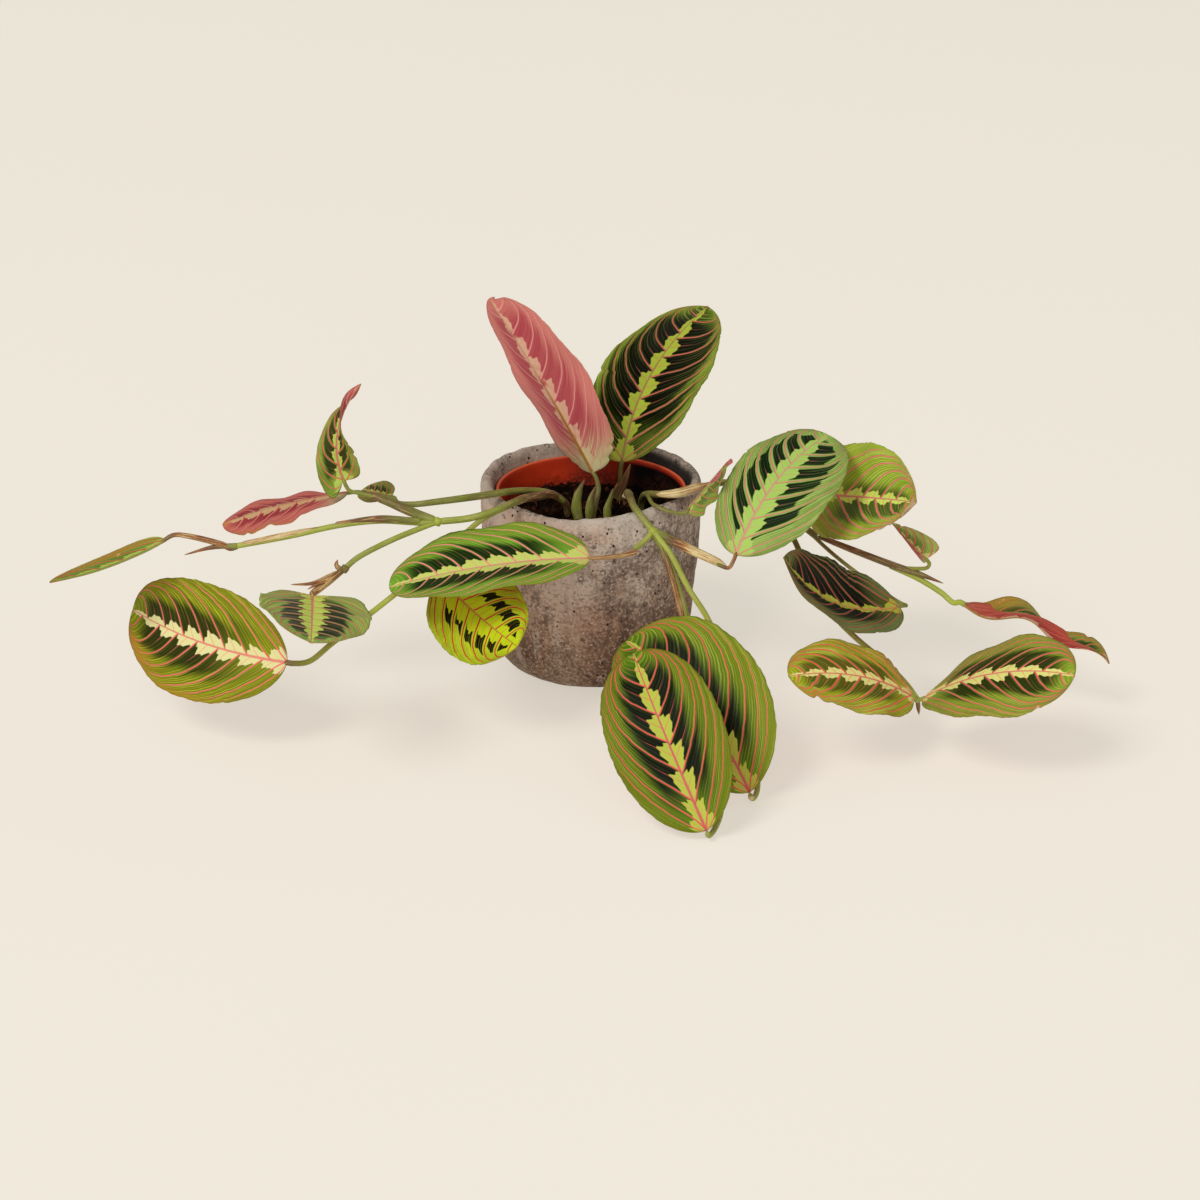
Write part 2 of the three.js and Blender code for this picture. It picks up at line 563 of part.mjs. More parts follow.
function add(name, geometry, [colour, roughness]) {
  const material = new THREE.MeshStandardMaterial({ color: colour, roughness, metalness: 0 });
  const mesh = new THREE.Mesh(geometry, material);
  mesh.name = name;
  plant.add(mesh);
}

add("outer_pot", outerPot(), colours.cement);
add("nursery_pot", nurseryPot(), colours.terracotta);
add("soil", soil(Object.values(roots)), colours.soil);
add("petiole_up_left", petioleUpLeft(), colours.stem);
add("petiole_up_right", petioleUpRight(), colours.stem);
add("bud_sheath", budSheath(), colours.stem);
add("stem_left", stemLeft(), colours.stem);
add("stem_front", stemFront(), colours.stem);
add("stem_right", stemRight(), colours.stem);
blades.forEach((blade, order) => {
  add(blade.name, bladeGeometry(blade, order), blade.underside ? colours.underside : colours.leaf);
});

export default plant;
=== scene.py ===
# %% [markdown]
# # A potted prayer plant, dressed
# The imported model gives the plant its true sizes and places. This lesson gives it its looks: each
# plain solid is replaced by a finer surface that numpy works out, with a material made of nodes.
# Lengths are in millimetres here, as a maker measures them, and MM turns them into Blender's
# metres. +X is right, +Y is away from the camera and +Z is up.

# %% Load the frame
from types import SimpleNamespace
import bpy
import numpy as np
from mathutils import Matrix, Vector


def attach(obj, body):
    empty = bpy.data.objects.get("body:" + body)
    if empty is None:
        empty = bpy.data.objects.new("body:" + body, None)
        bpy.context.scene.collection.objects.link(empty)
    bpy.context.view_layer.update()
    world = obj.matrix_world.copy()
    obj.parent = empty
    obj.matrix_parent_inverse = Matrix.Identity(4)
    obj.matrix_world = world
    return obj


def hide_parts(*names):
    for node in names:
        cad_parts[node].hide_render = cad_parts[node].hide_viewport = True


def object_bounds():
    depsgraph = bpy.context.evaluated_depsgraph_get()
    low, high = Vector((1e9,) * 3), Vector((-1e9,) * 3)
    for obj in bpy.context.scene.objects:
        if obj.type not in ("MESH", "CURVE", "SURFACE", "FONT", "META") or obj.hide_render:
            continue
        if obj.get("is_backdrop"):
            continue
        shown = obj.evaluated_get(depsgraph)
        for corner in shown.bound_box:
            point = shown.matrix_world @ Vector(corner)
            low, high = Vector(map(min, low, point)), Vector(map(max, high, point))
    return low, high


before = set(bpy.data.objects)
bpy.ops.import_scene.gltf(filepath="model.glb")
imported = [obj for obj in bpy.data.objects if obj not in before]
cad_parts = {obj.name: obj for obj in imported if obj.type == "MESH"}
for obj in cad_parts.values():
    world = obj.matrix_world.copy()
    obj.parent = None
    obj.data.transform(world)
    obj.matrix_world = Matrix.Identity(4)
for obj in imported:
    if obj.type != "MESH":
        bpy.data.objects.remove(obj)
cad_box = [list(corner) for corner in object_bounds()]
MM = 0.001
print(len(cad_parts), "solids from", cad_box[0], "to", cad_box[1])

# %% [markdown]
# ## Camera, floor and light
# A long lens from a little above keeps the leaves in their true proportions. The floor is so
# large that it fills the view, as a roll of studio paper does. The pale world gives most of the
# light, a large soft lamp at the front left models the leaves and a wider, weaker one in front
# fills their shadows. The paper glows a little, as on a light table, which keeps them faint.

# %% Camera
lens = bpy.data.cameras.new("camera")
lens.lens = 96
lens.sensor_width = 36
lens.clip_end = 60
camera = bpy.data.objects.new("camera", lens)
camera.location = (0.0054, -1.8475, 0.8257)
camera.rotation_euler = (np.radians(67), 0, 0)
bpy.context.scene.collection.objects.link(camera)
bpy.context.scene.camera = camera
print("camera", tuple(round(v, 4) for v in camera.location))

# %% [markdown]
# ## A small language for patterns
# Every pattern here is a formula over the surface. Placing its nodes one by one would bury the
# formula, so a small class stands for "a number at each point": adding or multiplying two of them
# places the Math node that does it. Colours are written as screen codes, as a paint chart gives
# them, and turned into the linear light that shaders work in.

# %% Numbers and colours as nodes
def paint(code):
    """A shader's colour from a screen code: each channel c becomes ((c + 0.055) / 1.055) ** 2.4."""
    screen = np.array([int(code[i:i + 2], 16) for i in (0, 2, 4)]) / 255
    linear = np.where(screen <= 0.04045, screen / 12.92, ((screen + 0.055) / 1.055) ** 2.4)
    return (*linear.tolist(), 1.0)


def plug(tree, socket, value):
    """Links a node's output to a socket, or sets the socket to a number or a screen code."""
    if isinstance(value, Amount):
        value = value.socket
    if isinstance(value, str):
        value = paint(value)
    if isinstance(value, bpy.types.NodeSocket):
        tree.links.new(value, socket)
    else:
        socket.default_value = value


def placed(tree, kind, inputs, **settings):
    """A new node with its settings made, and then its inputs plugged in, by place or by name."""
    node = tree.nodes.new("ShaderNode" + kind)
    for label, value in settings.items():
        setattr(node, label, value)
    for key, value in inputs.items() if isinstance(inputs, dict) else enumerate(inputs):
        plug(tree, node.inputs[key], value)
    return node


def sign(operation, mirrored=False):
    """A method that puts an amount, and what stands beside it, through a Math node."""
    def method(self, *others):
        values = (*others, self) if mirrored else (self, *others)
        return Amount(self.tree, placed(self.tree, "Math", values, operation=operation).outputs[0])
    return method


class Amount:
    """A number at each point of a surface. Arithmetic on it places the Math nodes that do it."""

    def __init__(self, tree, socket):
        self.tree, self.socket = tree, socket

    __add__ = __radd__ = sign("ADD")
    __sub__, __rsub__ = sign("SUBTRACT"), sign("SUBTRACT", mirrored=True)
    __mul__ = __rmul__ = sign("MULTIPLY")
    __pow__, __abs__ = sign("POWER"), sign("ABSOLUTE")
    # The smaller and the larger of two, and what is left without the whole number
    least, most, part = sign("MINIMUM"), sign("MAXIMUM"), sign("FRACT")

    def rise(self, low, high):
        """0 below low, 1 above high, and a smooth step between them."""
        node = placed(self.tree, "MapRange", (self, low, high), interpolation_type="SMOOTHSTEP")
        return Amount(self.tree, node.outputs[0])


def between(tree, factor, first, second):
    """A colour mixed from two, by a factor from 0 to 1."""
    return placed(tree, "Mix", {0: factor, 6: first, 7: second}, data_type="RGBA").outputs[2]


def coated(tree, colour, *coats):
    """A colour with coats laid over it in turn, each given by how much covers and its colour."""
    for cover, coat in coats:
        colour = between(tree, cover, colour, coat)
    return colour


def place(tree):
    """Where a point is on its object, in metres."""
    return placed(tree, "TexCoord", ()).outputs["Object"]


def stretched(tree, vector, factors):
    """A place with each of its three numbers multiplied by a factor."""
    return placed(tree, "VectorMath", (vector, factors), operation="MULTIPLY").outputs[0]


def joined(tree, x, y, z=0.0):
    """A vector made of three amounts."""
    return placed(tree, "CombineXYZ", (x, y, z)).outputs[0]


def cloud(tree, vector, scale, detail, roughness=0.5):
    """Uneven noise from 0 to 1 with about `scale` lumps in each unit of the place."""
    inputs = {"Vector": vector, "Scale": scale, "Detail": detail, "Roughness": roughness}
    return Amount(tree, placed(tree, "TexNoise", inputs).outputs[0])


def cells(tree, vector, scale):
    """The distance to the nearest of many scattered points, for pores and grains."""
    node = placed(tree, "TexVoronoi", {"Vector": vector, "Scale": scale})
    return Amount(tree, node.outputs["Distance"])


def painted_on(tree, name):
    """What a mesh attribute says at each point, as a vector."""
    return placed(tree, "Attribute", (), attribute_name=name).outputs["Vector"]


def numbers_of(tree, vector):
    """The three numbers of a vector, each as an amount."""
    return [Amount(tree, socket) for socket in placed(tree, "SeparateXYZ", (vector,)).outputs]


def finish(name, pattern, **constants):
    """A material: pattern(tree) gives its colour, roughness and height in millimetres."""
    material = bpy.data.materials.new(name)
    material.use_nodes = True
    tree = material.node_tree
    colour, rough, height = pattern(tree)
    bump = placed(tree, "Bump", {"Distance": MM, "Height": height}).outputs[0]
    given = {"Base_Color": colour, "Roughness": rough, "Normal": bump, **constants}
    for label, value in given.items():
        plug(tree, tree.nodes["Principled BSDF"].inputs[label.replace("_", " ")], value)
    return material


print("pattern language ready")

# %% [markdown]
# ## From arrays to a mesh
# A surface is a grid of points, worked out as one whole array. Its faces are another array, of the
# four corners of each cell, so no loop over points is needed. Tubes and turned shapes close round
# on themselves, and a fan of triangles closes each end that comes to a point.

# %% Grids and meshes
def grid_faces(rows, columns, wrap=False):
    """Corners of each cell of a grid: a point, its right neighbour, and the two in the next row."""
    first = np.arange(rows - 1)[:, None] * columns
    here = np.arange(columns if wrap else columns - 1)[None, :]
    beside = (here + 1) % columns
    corners = [first + here, first + beside, first + columns + beside, first + columns + here]
    return np.stack(corners, axis=-1).reshape(-1, 4)


def fans(rows, columns):
    """Triangles that close both ends of a wrapped grid on two poles, which follow its points."""
    start = rows * columns
    here = np.arange(columns)
    beside = (here + 1) % columns
    last = (rows - 1) * columns
    low = np.stack([np.full(columns, start), beside, here], axis=1)
    high = np.stack([np.full(columns, start + 1), last + here, last + beside], axis=1)
    return np.vstack([low, high])


def unit(vectors):
    """The vectors with their lengths made 1."""
    return vectors / np.linalg.norm(vectors, axis=1, keepdims=True)


def mesh_piece(name, points, quads, triangles=None, **attributes):
    """A new object at the origin from arrays of points (in millimetres), faces and attributes."""
    triangles = np.zeros((0, 3), int) if triangles is None else triangles
    mesh = bpy.data.meshes.new(name)
    mesh.vertices.add(len(points))
    mesh.vertices.foreach_set("co", (np.asarray(points) * MM).astype(np.float32).ravel())
    corners = np.concatenate([quads.ravel(), triangles.ravel()])
    mesh.loops.add(len(corners))
    mesh.loops.foreach_set("vertex_index", corners.astype(np.int32))
    starts = [np.arange(len(quads)) * 4, quads.size + np.arange(len(triangles)) * 3]
    mesh.polygons.add(len(quads) + len(triangles))
    mesh.polygons.foreach_set("loop_start", np.concatenate(starts).astype(np.int32))
    mesh.update(calc_edges=True)
    mesh.shade_smooth()
    for label, values in attributes.items():
        values = np.asarray(values, np.float32)
        kind = "FLOAT_VECTOR" if values.ndim == 2 else "FLOAT"
        layer = mesh.attributes.new(label, kind, "POINT")
        layer.data.foreach_set("vector" if values.ndim == 2 else "value", values.ravel())
    piece = bpy.data.objects.new(name, mesh)
    bpy.context.scene.collection.objects.link(piece)
    return piece


def dress(piece, material, slot, *nodes):
    """Gives a piece its material, lets it ride with the plant and stand for its CAD solids."""
    piece.data.materials.append(material)
    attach(piece, "root")
    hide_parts(*nodes)
    print(piece.name, len(piece.data.vertices), "points for", ", ".join(nodes))


def ripples(points, size, seed, waves=24):
    """A smooth uneven height, mostly from -1 to 1: the sum of plane waves in random directions.

    Each wave is sin(2 pi p . d / length + phase), with lengths around the given size.
    """
    draw = np.random.default_rng(seed)
    directions = unit(draw.normal(size=(waves, 3)))
    lengths = size * draw.uniform(0.6, 1.8, (waves, 1))
    turns = points @ (2 * np.pi * directions / lengths).T + draw.uniform(0, 2 * np.pi, waves)
    return np.sin(turns).sum(axis=-1) * (1.4 / waves) ** 0.5


print("grid of 3 by 4 points has", len(grid_faces(3, 4)), "cells")

# %% Floor and light
FLOOR_HALF = 9000
corners = np.array([[-1, -1, 0], [1, -1, 0], [-1, 1, 0], [1, 1, 0]]) * float(FLOOR_HALF)
floor = mesh_piece("floor", corners, grid_faces(2, 2))


def paper(tree):
    """Two pale greys, in clouds so broad that they hardly show."""
    tint = cloud(tree, place(tree), 1.5, 2)
    return between(tree, tint, "9c9891", "9f9c95"), 0.95, 0.0


floor.data.materials.append(finish("studio paper", paper, Specular_IOR_Level=0.05,
                                   Emission_Color="ede6d9", Emission_Strength=0.665))
floor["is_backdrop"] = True


DAYLIGHT = (1.0, 0.985, 0.96)


def lamp(name, position, target, size, power):
    """A square soft lamp that faces a target point."""
    light = bpy.data.lights.new(name, "AREA")
    light.size = size
    light.energy = power
    light.color = DAYLIGHT
    holder = bpy.data.objects.new(name, light)
    holder.location = position
    way = np.array(target) - np.array(position)
    turn = np.arctan2(way[1], way[0]) - np.pi / 2
    dip = np.arctan2(np.hypot(way[0], way[1]), -way[2])
    holder.rotation_euler = (dip, 0, turn)
    bpy.context.scene.collection.objects.link(holder)


lamp("window", (-5.0, -6.0, 8.6), (0, -0.05, 0.08), size=4.0, power=700)
lamp("front sheet", (0.9, -10.0, 4.5), (0, 0, 0.1), size=6.0, power=260)
world = bpy.context.scene.world or bpy.data.worlds.new("studio")
bpy.context.scene.world = world
world.use_nodes = True
world.node_tree.nodes["Background"].inputs[0].default_value = paint("fbf9f5")
world.node_tree.nodes["Background"].inputs[1].default_value = 0.42
bpy.context.scene.view_settings.view_transform = "Standard"

# %% [markdown]
# ## The leaf blades
# A prayer plant's leaf is a thin oval that folds a little along its midrib, bows towards its tip
# and waves at its edge. One formula gives them all: a midrib curve that starts at the stalk with a
# heading and a slope, and a width across it at each point. It could be sculpted leaf by leaf, but
# the formula holds every leaf to the solid it replaces, so only its numbers differ.

# %% The twenty blades
USUAL_SWEEP = 0.45


def leaf(name, base, heading, rise, droop, veer, roll, twist, length, width, folds, widest, lean,
         late=1, sway=0, point=0, lobes=(0, 0), ripple=None, sweep=USUAL_SWEEP):
    """One blade's numbers, in millimetres and degrees.

    base is the place of its foot. heading and rise are the way the midrib leaves it, which veer
    and droop change towards the tip. roll and twist turn the blade about its midrib, folds lift
    its two halves, widest moves its broadest place and lean makes one half wider. late holds the
    twist back, sway waves the midrib, point narrows the tip, lobes draw the foot back, ripple is
    the edge's height, waves and phase, and sweep is how far the side veins lean to the tip.
    """
    return SimpleNamespace(**locals())


BLADES = [
    leaf("leaf_up_left", [1, 0, 127], 161, 61, 5, 5, -60, 1, 125, 69, [10, 12], 0.78, 0.05),
    leaf("leaf_up_right", [19, 24, 125], -24, 82, 40, -7, -128, -15, 127, 71, [8, 5], 1, 0.02),
    leaf("leaf_left_curl", [-146, -78, 151], 0, 110, 62, 0, -92, 200, 65, 29, [12, 30], 0.52,
         -0.08, late=2.4, lobes=[14, 0], point=0.75),
    leaf("leaf_left_pink", [-145, -64, 138], 177, -9, 13, 4, -187, 21, 79, 44, [9, 6], 0.96, 0),
    leaf("leaf_left_back", [-120, -60, 134], 129, -6, 5, -4, 24, 0, 31, 20, [7, 7], 0.93, 0,
         ripple=[0.4, 1.5, 1]),
    leaf("leaf_left_far", [-252, -92, 119], 197, -25, -18, -5, -4, -5, 72, 34, [13, 13], 0.93,
         0.03, ripple=[0.4, 1, 0], point=0.35, sweep=0.9),
    leaf("leaf_left_big", [-178, -135, 59], 160, -1, -9, -25, 59, 14, 118, 71, [9, 10], 1.03,
         -0.02),
    leaf("leaf_left_middle", [-164, -110, 91], -85, 9, 2, -1, 8, 9, 102, 66, [9, 9], 0.92, 0.03),
    leaf("leaf_front_long", [-1, -98, 110], 184, 1, 18, -3, 8, 10, 120, 68, [10, 10], 0.8, 0),
    leaf("leaf_front_round", [-91, -74, 87], -49, -21, -21, -10, -48, 4, 84, 57, [2, 5], 0.98, 0),
    leaf("leaf_right_big", [86, -86, 107], 58, 47, 42, -10, -13, 3, 111, 66, [4, 4], 0.98, -0.16),
    leaf("leaf_right_back", [143, -5, 114], -47, 14, -3, -23, -55, -7, 98, 67, [21, 20], 0.7, 0,
         sweep=0.9),
    leaf("leaf_right_small", [58, -65, 128], 55, 21, 9, 8, -110, -3, 50, 32, [22, 18], 0.96, 0),
    leaf("leaf_right_dark", [185, -82, 72], 206, -2, -63, -8, 27, 4, 94, 56, [15, 15], 0.94, 0,
         sweep=0.7),
    leaf("leaf_right_curl", [202, -61.5, 94], 176, 46, -2, 0, 80, -12, 31, 22, [76, 24], 0.42,
         -0.2, point=0.5),
    leaf("leaf_right_far", [225, -72, 69], -8, -8, 22, -8, 19, -4, 99, 44, [22, 24], 0.8, 0.02,
         sway=26, ripple=[4, 1.8, 5], point=0.3),
    leaf("leaf_low_left", [190, -133, 36], 206, 38, 39, -7, 32, -6, 88, 54, [0, 1], 0.99, 0.04,
         sweep=0.6),
    leaf("leaf_low_right", [196, -133, 35], -29, 40, 38, -2, -9, -34, 102, 62, [-3, -3], 1.05,
         -0.07, sweep=0.7),
    leaf("leaf_ground_back", [91, -203, 8], 123, 45, 35, 13, 35, -9, 126, 79, [14, 14], 1.13,
         -0.08, sweep=0.65),
    leaf("leaf_ground_front", [65, -249, 7], 122, 43, 8, -10, 37, -7, 116, 69, [12, 13], 1.03,
         -0.03, sweep=0.7),
]
for order, blade in enumerate(BLADES):
    blade.order = order
print(len(BLADES), "blades from", min(blade.length for blade in BLADES), "mm long")

# %% The shape of a blade
ROWS, COLUMNS = 112, 46
NECK_HALF_WIDTH, TIP_HALF_WIDTH = 1.2, 0.3
OVAL_ROUNDNESS, OVAL_BLUNTNESS = 2.15, 0.52
EDGE_WAVE, WAVES_PER_BLADE = 1.3, 2.6


def blade_frame(blade, part):
    """The midrib's direction, the blade's right and its upper normal, at each part of the way.

    The direction follows from the heading and the rise, and the other two are turned about it
    by the roll.
    """
    heading = np.radians(blade.heading + blade.veer * part)
    sway = blade.sway * np.sin(4 * np.pi * part - 2)
    rise = np.radians(blade.rise - blade.droop * part + sway)
    roll = np.radians(blade.roll + blade.twist * part ** blade.late)[..., None]
    level = np.cos(rise)
    along = np.stack([level * np.cos(heading), level * np.sin(heading), np.sin(rise)], axis=-1)
    side = np.stack([np.sin(heading), -np.cos(heading), 0 * heading], axis=-1)
    upper = np.cross(side, along)
    right = side * np.cos(roll) + upper * np.sin(roll)
    return along, right, upper * np.cos(roll) - side * np.sin(roll)


def midrib(blade, part, steps=32):
    """The foot of the blade plus the sum of many short steps in the midrib's direction."""
    middles = part[:, None] * (np.arange(steps) + 0.5) / steps
    along = blade_frame(blade, middles)[0]
    return np.array(blade.base) + along.mean(axis=1) * (blade.length * part)[:, None]


def blade_surface(blade, part, across):
    """The blade's middle surface on a grid, with how far each point is from the midrib.

    The half width is the leaf's width / 2 times (1 - |2 part^widest - 1|^2.15)^0.52, which is an
    oval with a blunt foot. The fold lifts a point by its distance from the midrib, softened there,
    and the edge waves up and down as a sine along the blade.
    """
    side = (across > 0).astype(int)[None, :]
    part_, across_ = part[:, None], across[None, :]
    along, right, up = (v[:, None, :] for v in blade_frame(blade, part))
    oval = 1 - np.abs(2 * part_ ** blade.widest - 1) ** OVAL_ROUNDNESS
    oval = np.maximum(0, oval) ** OVAL_BLUNTNESS
    outline = (1 - blade.point * part_ ** 2) * oval
    lean = np.where(side, 1 - blade.lean, 1 + blade.lean)
    neck = NECK_HALF_WIDTH + (TIP_HALF_WIDTH - NECK_HALF_WIDTH) * part_
    reach = np.maximum(blade.width / 2 * outline * lean * ragged(blade, part_, side), neck)
    out = reach * across_
    fold = np.radians(np.array(blade.folds))[side]
    height, waves, phase = blade.ripple or (EDGE_WAVE, WAVES_PER_BLADE, blade.order * 1.7)
    wave = height * across_ ** 2 * outline * np.sin(2 * np.pi * waves * part_ + phase + side * 2)
    lobe = np.array(blade.lobes)[side] * across_ ** 2 * outline * (1 - part_) ** 2
    lift = (np.sqrt(out ** 2 + 1) - 1) * np.sin(fold) + wave
    surface = midrib(blade, part)[:, None, :] - along * lobe[..., None]
    surface = surface + right * (out * np.cos(fold))[..., None] + up * lift[..., None]
    return surface, reach + 0 * across_, up + 0 * surface


def ragged(blade, part, side):
    """How whole the edge is: 1, less a few shallow nicks and a fine unevenness of its own."""
    draw = np.random.default_rng(100 + blade.order)
    whole = 1 + 0.006 * np.sin(part * 61 + blade.order + 3 * side)
    whole = whole + 0.004 * np.sin(part * 137 + 2 * blade.order + side)
    for at, where, depth, spread in blade_nicks(blade, draw):
        whole = whole - depth * np.exp(-((part - at) / spread) ** 2) * (side == where)
    return whole


def blade_nicks(blade, draw):
    """Place along the edge, side, depth and spread of each nick: two small ones for every leaf."""
    small = [(at, int(at * 97) % 2, 0.03, 0.006) for at in draw.uniform(0.25, 0.9, 2)]
    return small + NICKS.get(blade.name, [])


# The worn places that show: where along the edge, on which side, how deep and how wide
NICKS = {
    "leaf_up_left": [(0.985, 0, 0.6, 0.008), (0.05, 1, 0.14, 0.012), (0.09, 1, 0.14, 0.01),
        (0.14, 1, 0.08, 0.01), (0.05, 0, 0.16, 0.014), (0.1, 0, 0.1, 0.01)],
    "leaf_left_curl": [(0.3, 1, 0.12, 0.02), (0.42, 1, 0.16, 0.015), (0.55, 1, 0.12, 0.02)],
    "leaf_left_pink": [(0.35, 1, 0.16, 0.04), (0.6, 1, 0.1, 0.03), (0.8, 1, 0.12, 0.02)],
    "leaf_right_big": [(0.86, 0, -0.05, 0.008), (0.97, 0, -0.06, 0.006)],
    "leaf_right_back": [(0.93, 1, 0.12, 0.02), (0.86, 1, 0.08, 0.015), (0.8, 1, 0.05, 0.01)],
    "leaf_right_dark": [(0.3, 1, 0.03, 0.02), (0.55, 1, 0.02, 0.02), (0.75, 0, 0.03, 0.02)],
    "leaf_right_curl": [(0.7, 0, 0.2, 0.05), (0.85, 1, 0.25, 0.03)],
    "leaf_right_far": [(0.9, 1, 0.4, 0.02), (0.82, 0, 0.2, 0.015)],
    "leaf_low_left": [(0.86, 0, 0.16, 0.02), (0.78, 0, 0.05, 0.02), (0.08, 1, 0.16, 0.015),
        (0.14, 1, 0.12, 0.012), (0.21, 1, 0.08, 0.01), (0.3, 1, 0.04, 0.01)],
    "leaf_low_right": [(0.84, 1, 0.05, 0.012)],
}
print("a blade is worked out on", (ROWS + 1) * (COLUMNS + 1), "points a face")

# %% [markdown]
# ## Where the veins run
# Side veins leave the midrib one after another, run out and bend more and more towards the tip.
# If u is the place on the midrib that a vein left, then at a share a of the half width it has
# moved on by sweep (0.5 a + 0.5 a^4) (1 - u^3), where sweep is 0.45 on most leaves and up to 0.9
# where the veins run along the leaf. Solving that for u at every point gives a number that is the
# same all along a vein, so the material can draw veins, teeth and blotches from it with no
# picture. A third number says how many millimetres apart the veins are, which keeps their width
# even from leaf to leaf.

# %% Numbers for the vein pattern
VEIN_COUNT, FEWEST_VEINS = 7.6, 4.6
LONG_LEAF = 95
FIRST_START, HALVINGS = -0.6, 26
THICKNESS, EDGE_THICKNESS = 0.55, 0.2
QUILT_HEIGHT = 0.22
RIB_HALF_WIDTH, RIB_SINK, RIB_KEEL = 1.2, 0.3, 0.9


def vein_start(part, across, sweep):
    """Where on the midrib the vein through each point began, by halving an interval many times."""
    bend = sweep * (0.5 * np.abs(across) + 0.5 * across ** 4)
    low = np.full(np.broadcast(part, across).shape, FIRST_START)
    high = np.minimum(1.0, 1 / np.sqrt(np.maximum(3 * bend, 1e-6))) + 0 * low
    for _ in range(HALVINGS):
        middle = (low + high) / 2
        short = middle + bend * (1 - np.maximum(middle, 0) ** 3) < part
        low, high = np.where(short, middle, low), np.where(short, high, middle)
    return (low + high) / 2


def spacing(points, count):
    """Millimetres from one vein to the next: one over the steepness of the count on the surface."""
    down, over = np.gradient(points, axis=0), np.gradient(points, axis=1)
    count_down, count_over = np.gradient(count, axis=0), np.gradient(count, axis=1)
    e, f, g = (down * down).sum(-1), (down * over).sum(-1), (over * over).sum(-1)
    steep = g * count_down ** 2 - 2 * f * count_down * count_over + e * count_over ** 2
    steep = steep / np.maximum(e * g - f * f, 1e-6)
    return np.clip(1 / np.sqrt(np.maximum(steep, 1e-4)), 2.0, 30.0)


def blade_piece(blade):
    """Both faces of a blade and its rim as one closed mesh, with the vein pattern's numbers."""
    part = (1 - np.cos(np.linspace(0, np.pi, ROWS + 1))) / 2
    across = np.linspace(-1, 1, COLUMNS + 1)
    middle, reach, up = blade_surface(blade, part, across)
    part, across = part[:, None], across[None, :]
    veins = max(FEWEST_VEINS, VEIN_COUNT * min(1, (blade.length / LONG_LEAF) ** 0.5))
    veins /= 1 + (blade.sweep - USUAL_SWEEP) * 0.9
    count = veins * vein_start(part, across, blade.sweep)
    side = np.abs(across)
    quilt = 1 - np.cos(2 * np.pi * count)
    quilt = quilt * np.sin(np.pi * np.minimum(side * 1.1, 1)) * np.minimum(1, 8 * part * (1 - part))
    rib = np.exp(-((side * reach) / RIB_HALF_WIDTH) ** 2) * (1 - 0.6 * part)
    half = (EDGE_THICKNESS + (THICKNESS - EDGE_THICKNESS) * (1 - side ** 6)) / 2
    top = middle + up * (half + QUILT_HEIGHT * quilt - RIB_SINK * rib)[..., None]
    bottom = middle - up * (half - QUILT_HEIGHT * quilt + RIB_KEEL * rib)[..., None]
    faces = grid_faces(ROWS + 1, COLUMNS + 1)
    down, over = np.arange(ROWS + 1) * (COLUMNS + 1), np.arange(COLUMNS + 1)
    edges = [down[::-1], down + COLUMNS, over, (over + down[-1])[::-1]]
    quads = [faces, faces[:, ::-1] + count.size] + [rim_faces(line, count.size) for line in edges]

    def on_both(*numbers):
        spread = [(value + 0 * count).ravel() for value in numbers]
        return np.tile(np.stack(spread, axis=-1), (2, 1))

    lie = on_both(part, 0, reach)
    lie[:count.size, 1] = 1
    return mesh_piece(blade.name + "_blade", np.vstack([top.reshape(-1, 3), bottom.reshape(-1, 3)]),
                      np.vstack(quads), weave=on_both(count, across, spacing(middle, count)),
                      lie=lie, dry=on_both(scorch(blade, part, across))[:, 0])


def rim_faces(line, size):
    """Cells between a line of points on the upper face and the same line on the lower face."""
    return np.stack([line[:-1], line[:-1] + size, line[1:] + size, line[1:]], axis=-1)


def scorch(blade, part, across):
    """How dried the blade is: each place's strength, which fades round it as a bell does."""
    dry = 0 * part * across
    for at, over, length, breadth, strength in DRY_PLACES.get(blade.name, []):
        away = ((part - at) / length) ** 2 + ((across - over) / breadth) ** 2
        dry = np.maximum(dry, strength * np.exp(-away))
    return dry


# Dried places: their share of the way along and across, how far they spread both ways and how
# strongly. Below about half, a place is only tinted orange-brown, and above it is papery.
DRY_PLACES = {
    "leaf_left_far": [(0.97, 0, 0.04, 1.0, 0.5), (0.4, 0.8, 0.5, 0.3, 0.58),
        (0.4, 0.5, 0.03, 0.15, 0.9)],
    "leaf_left_big": [(0.9, -0.9, 0.22, 0.3, 0.55), (0.55, -1.0, 0.3, 0.12, 0.5),
        (0.9, 0.95, 0.1, 0.12, 0.4)],
    "leaf_left_pink": [(0.7, 1.0, 0.3, 0.14, 0.62), (1.0, 0, 0.05, 0.7, 0.6)],
    "leaf_right_back": [(0.97, 0.4, 0.05, 0.8, 1.4), (0.85, 1.0, 0.1, 0.12, 1.2)],
    "leaf_right_big": [(0.87, -1.0, 0.012, 0.08, 1.2), (0.98, -1.0, 0.012, 0.3, 1.2)],
    "leaf_right_far": [(0.97, 0, 0.05, 1.0, 1.2), (0.22, -0.9, 0.2, 0.5, 0.6),
        (0.7, -1.0, 0.2, 0.15, 0.55)],
    "leaf_low_left": [(0.86, -1.0, 0.03, 0.1, 1.0), (0.15, 1.0, 0.15, 0.07, 1.0)],
    "leaf_low_right": [(0.84, 1.0, 0.02, 0.1, 1.2)],
}
print("veins a side on a long leaf:", VEIN_COUNT)

# %% [markdown]
# ## The pattern of a prayer plant's leaf
# A prayer plant is known by its leaf: a pale toothed band on the midrib, near-black blotches
# beyond it, coral veins that arch to the tip and fine pleats between them, with a rose underside.
# It could be painted as a picture, but a formula stays sharp at any size. The share of the way
# from one vein to the next gives the teeth, and the share of the half width says where the band
# and the blotches end. The group is built once, and each leaf gives it its own values.

# %% A leaf's values
SHADES = ("Inner green", "Outer green", "Pleat", "Band", "Dark", "Vein", "Rib")


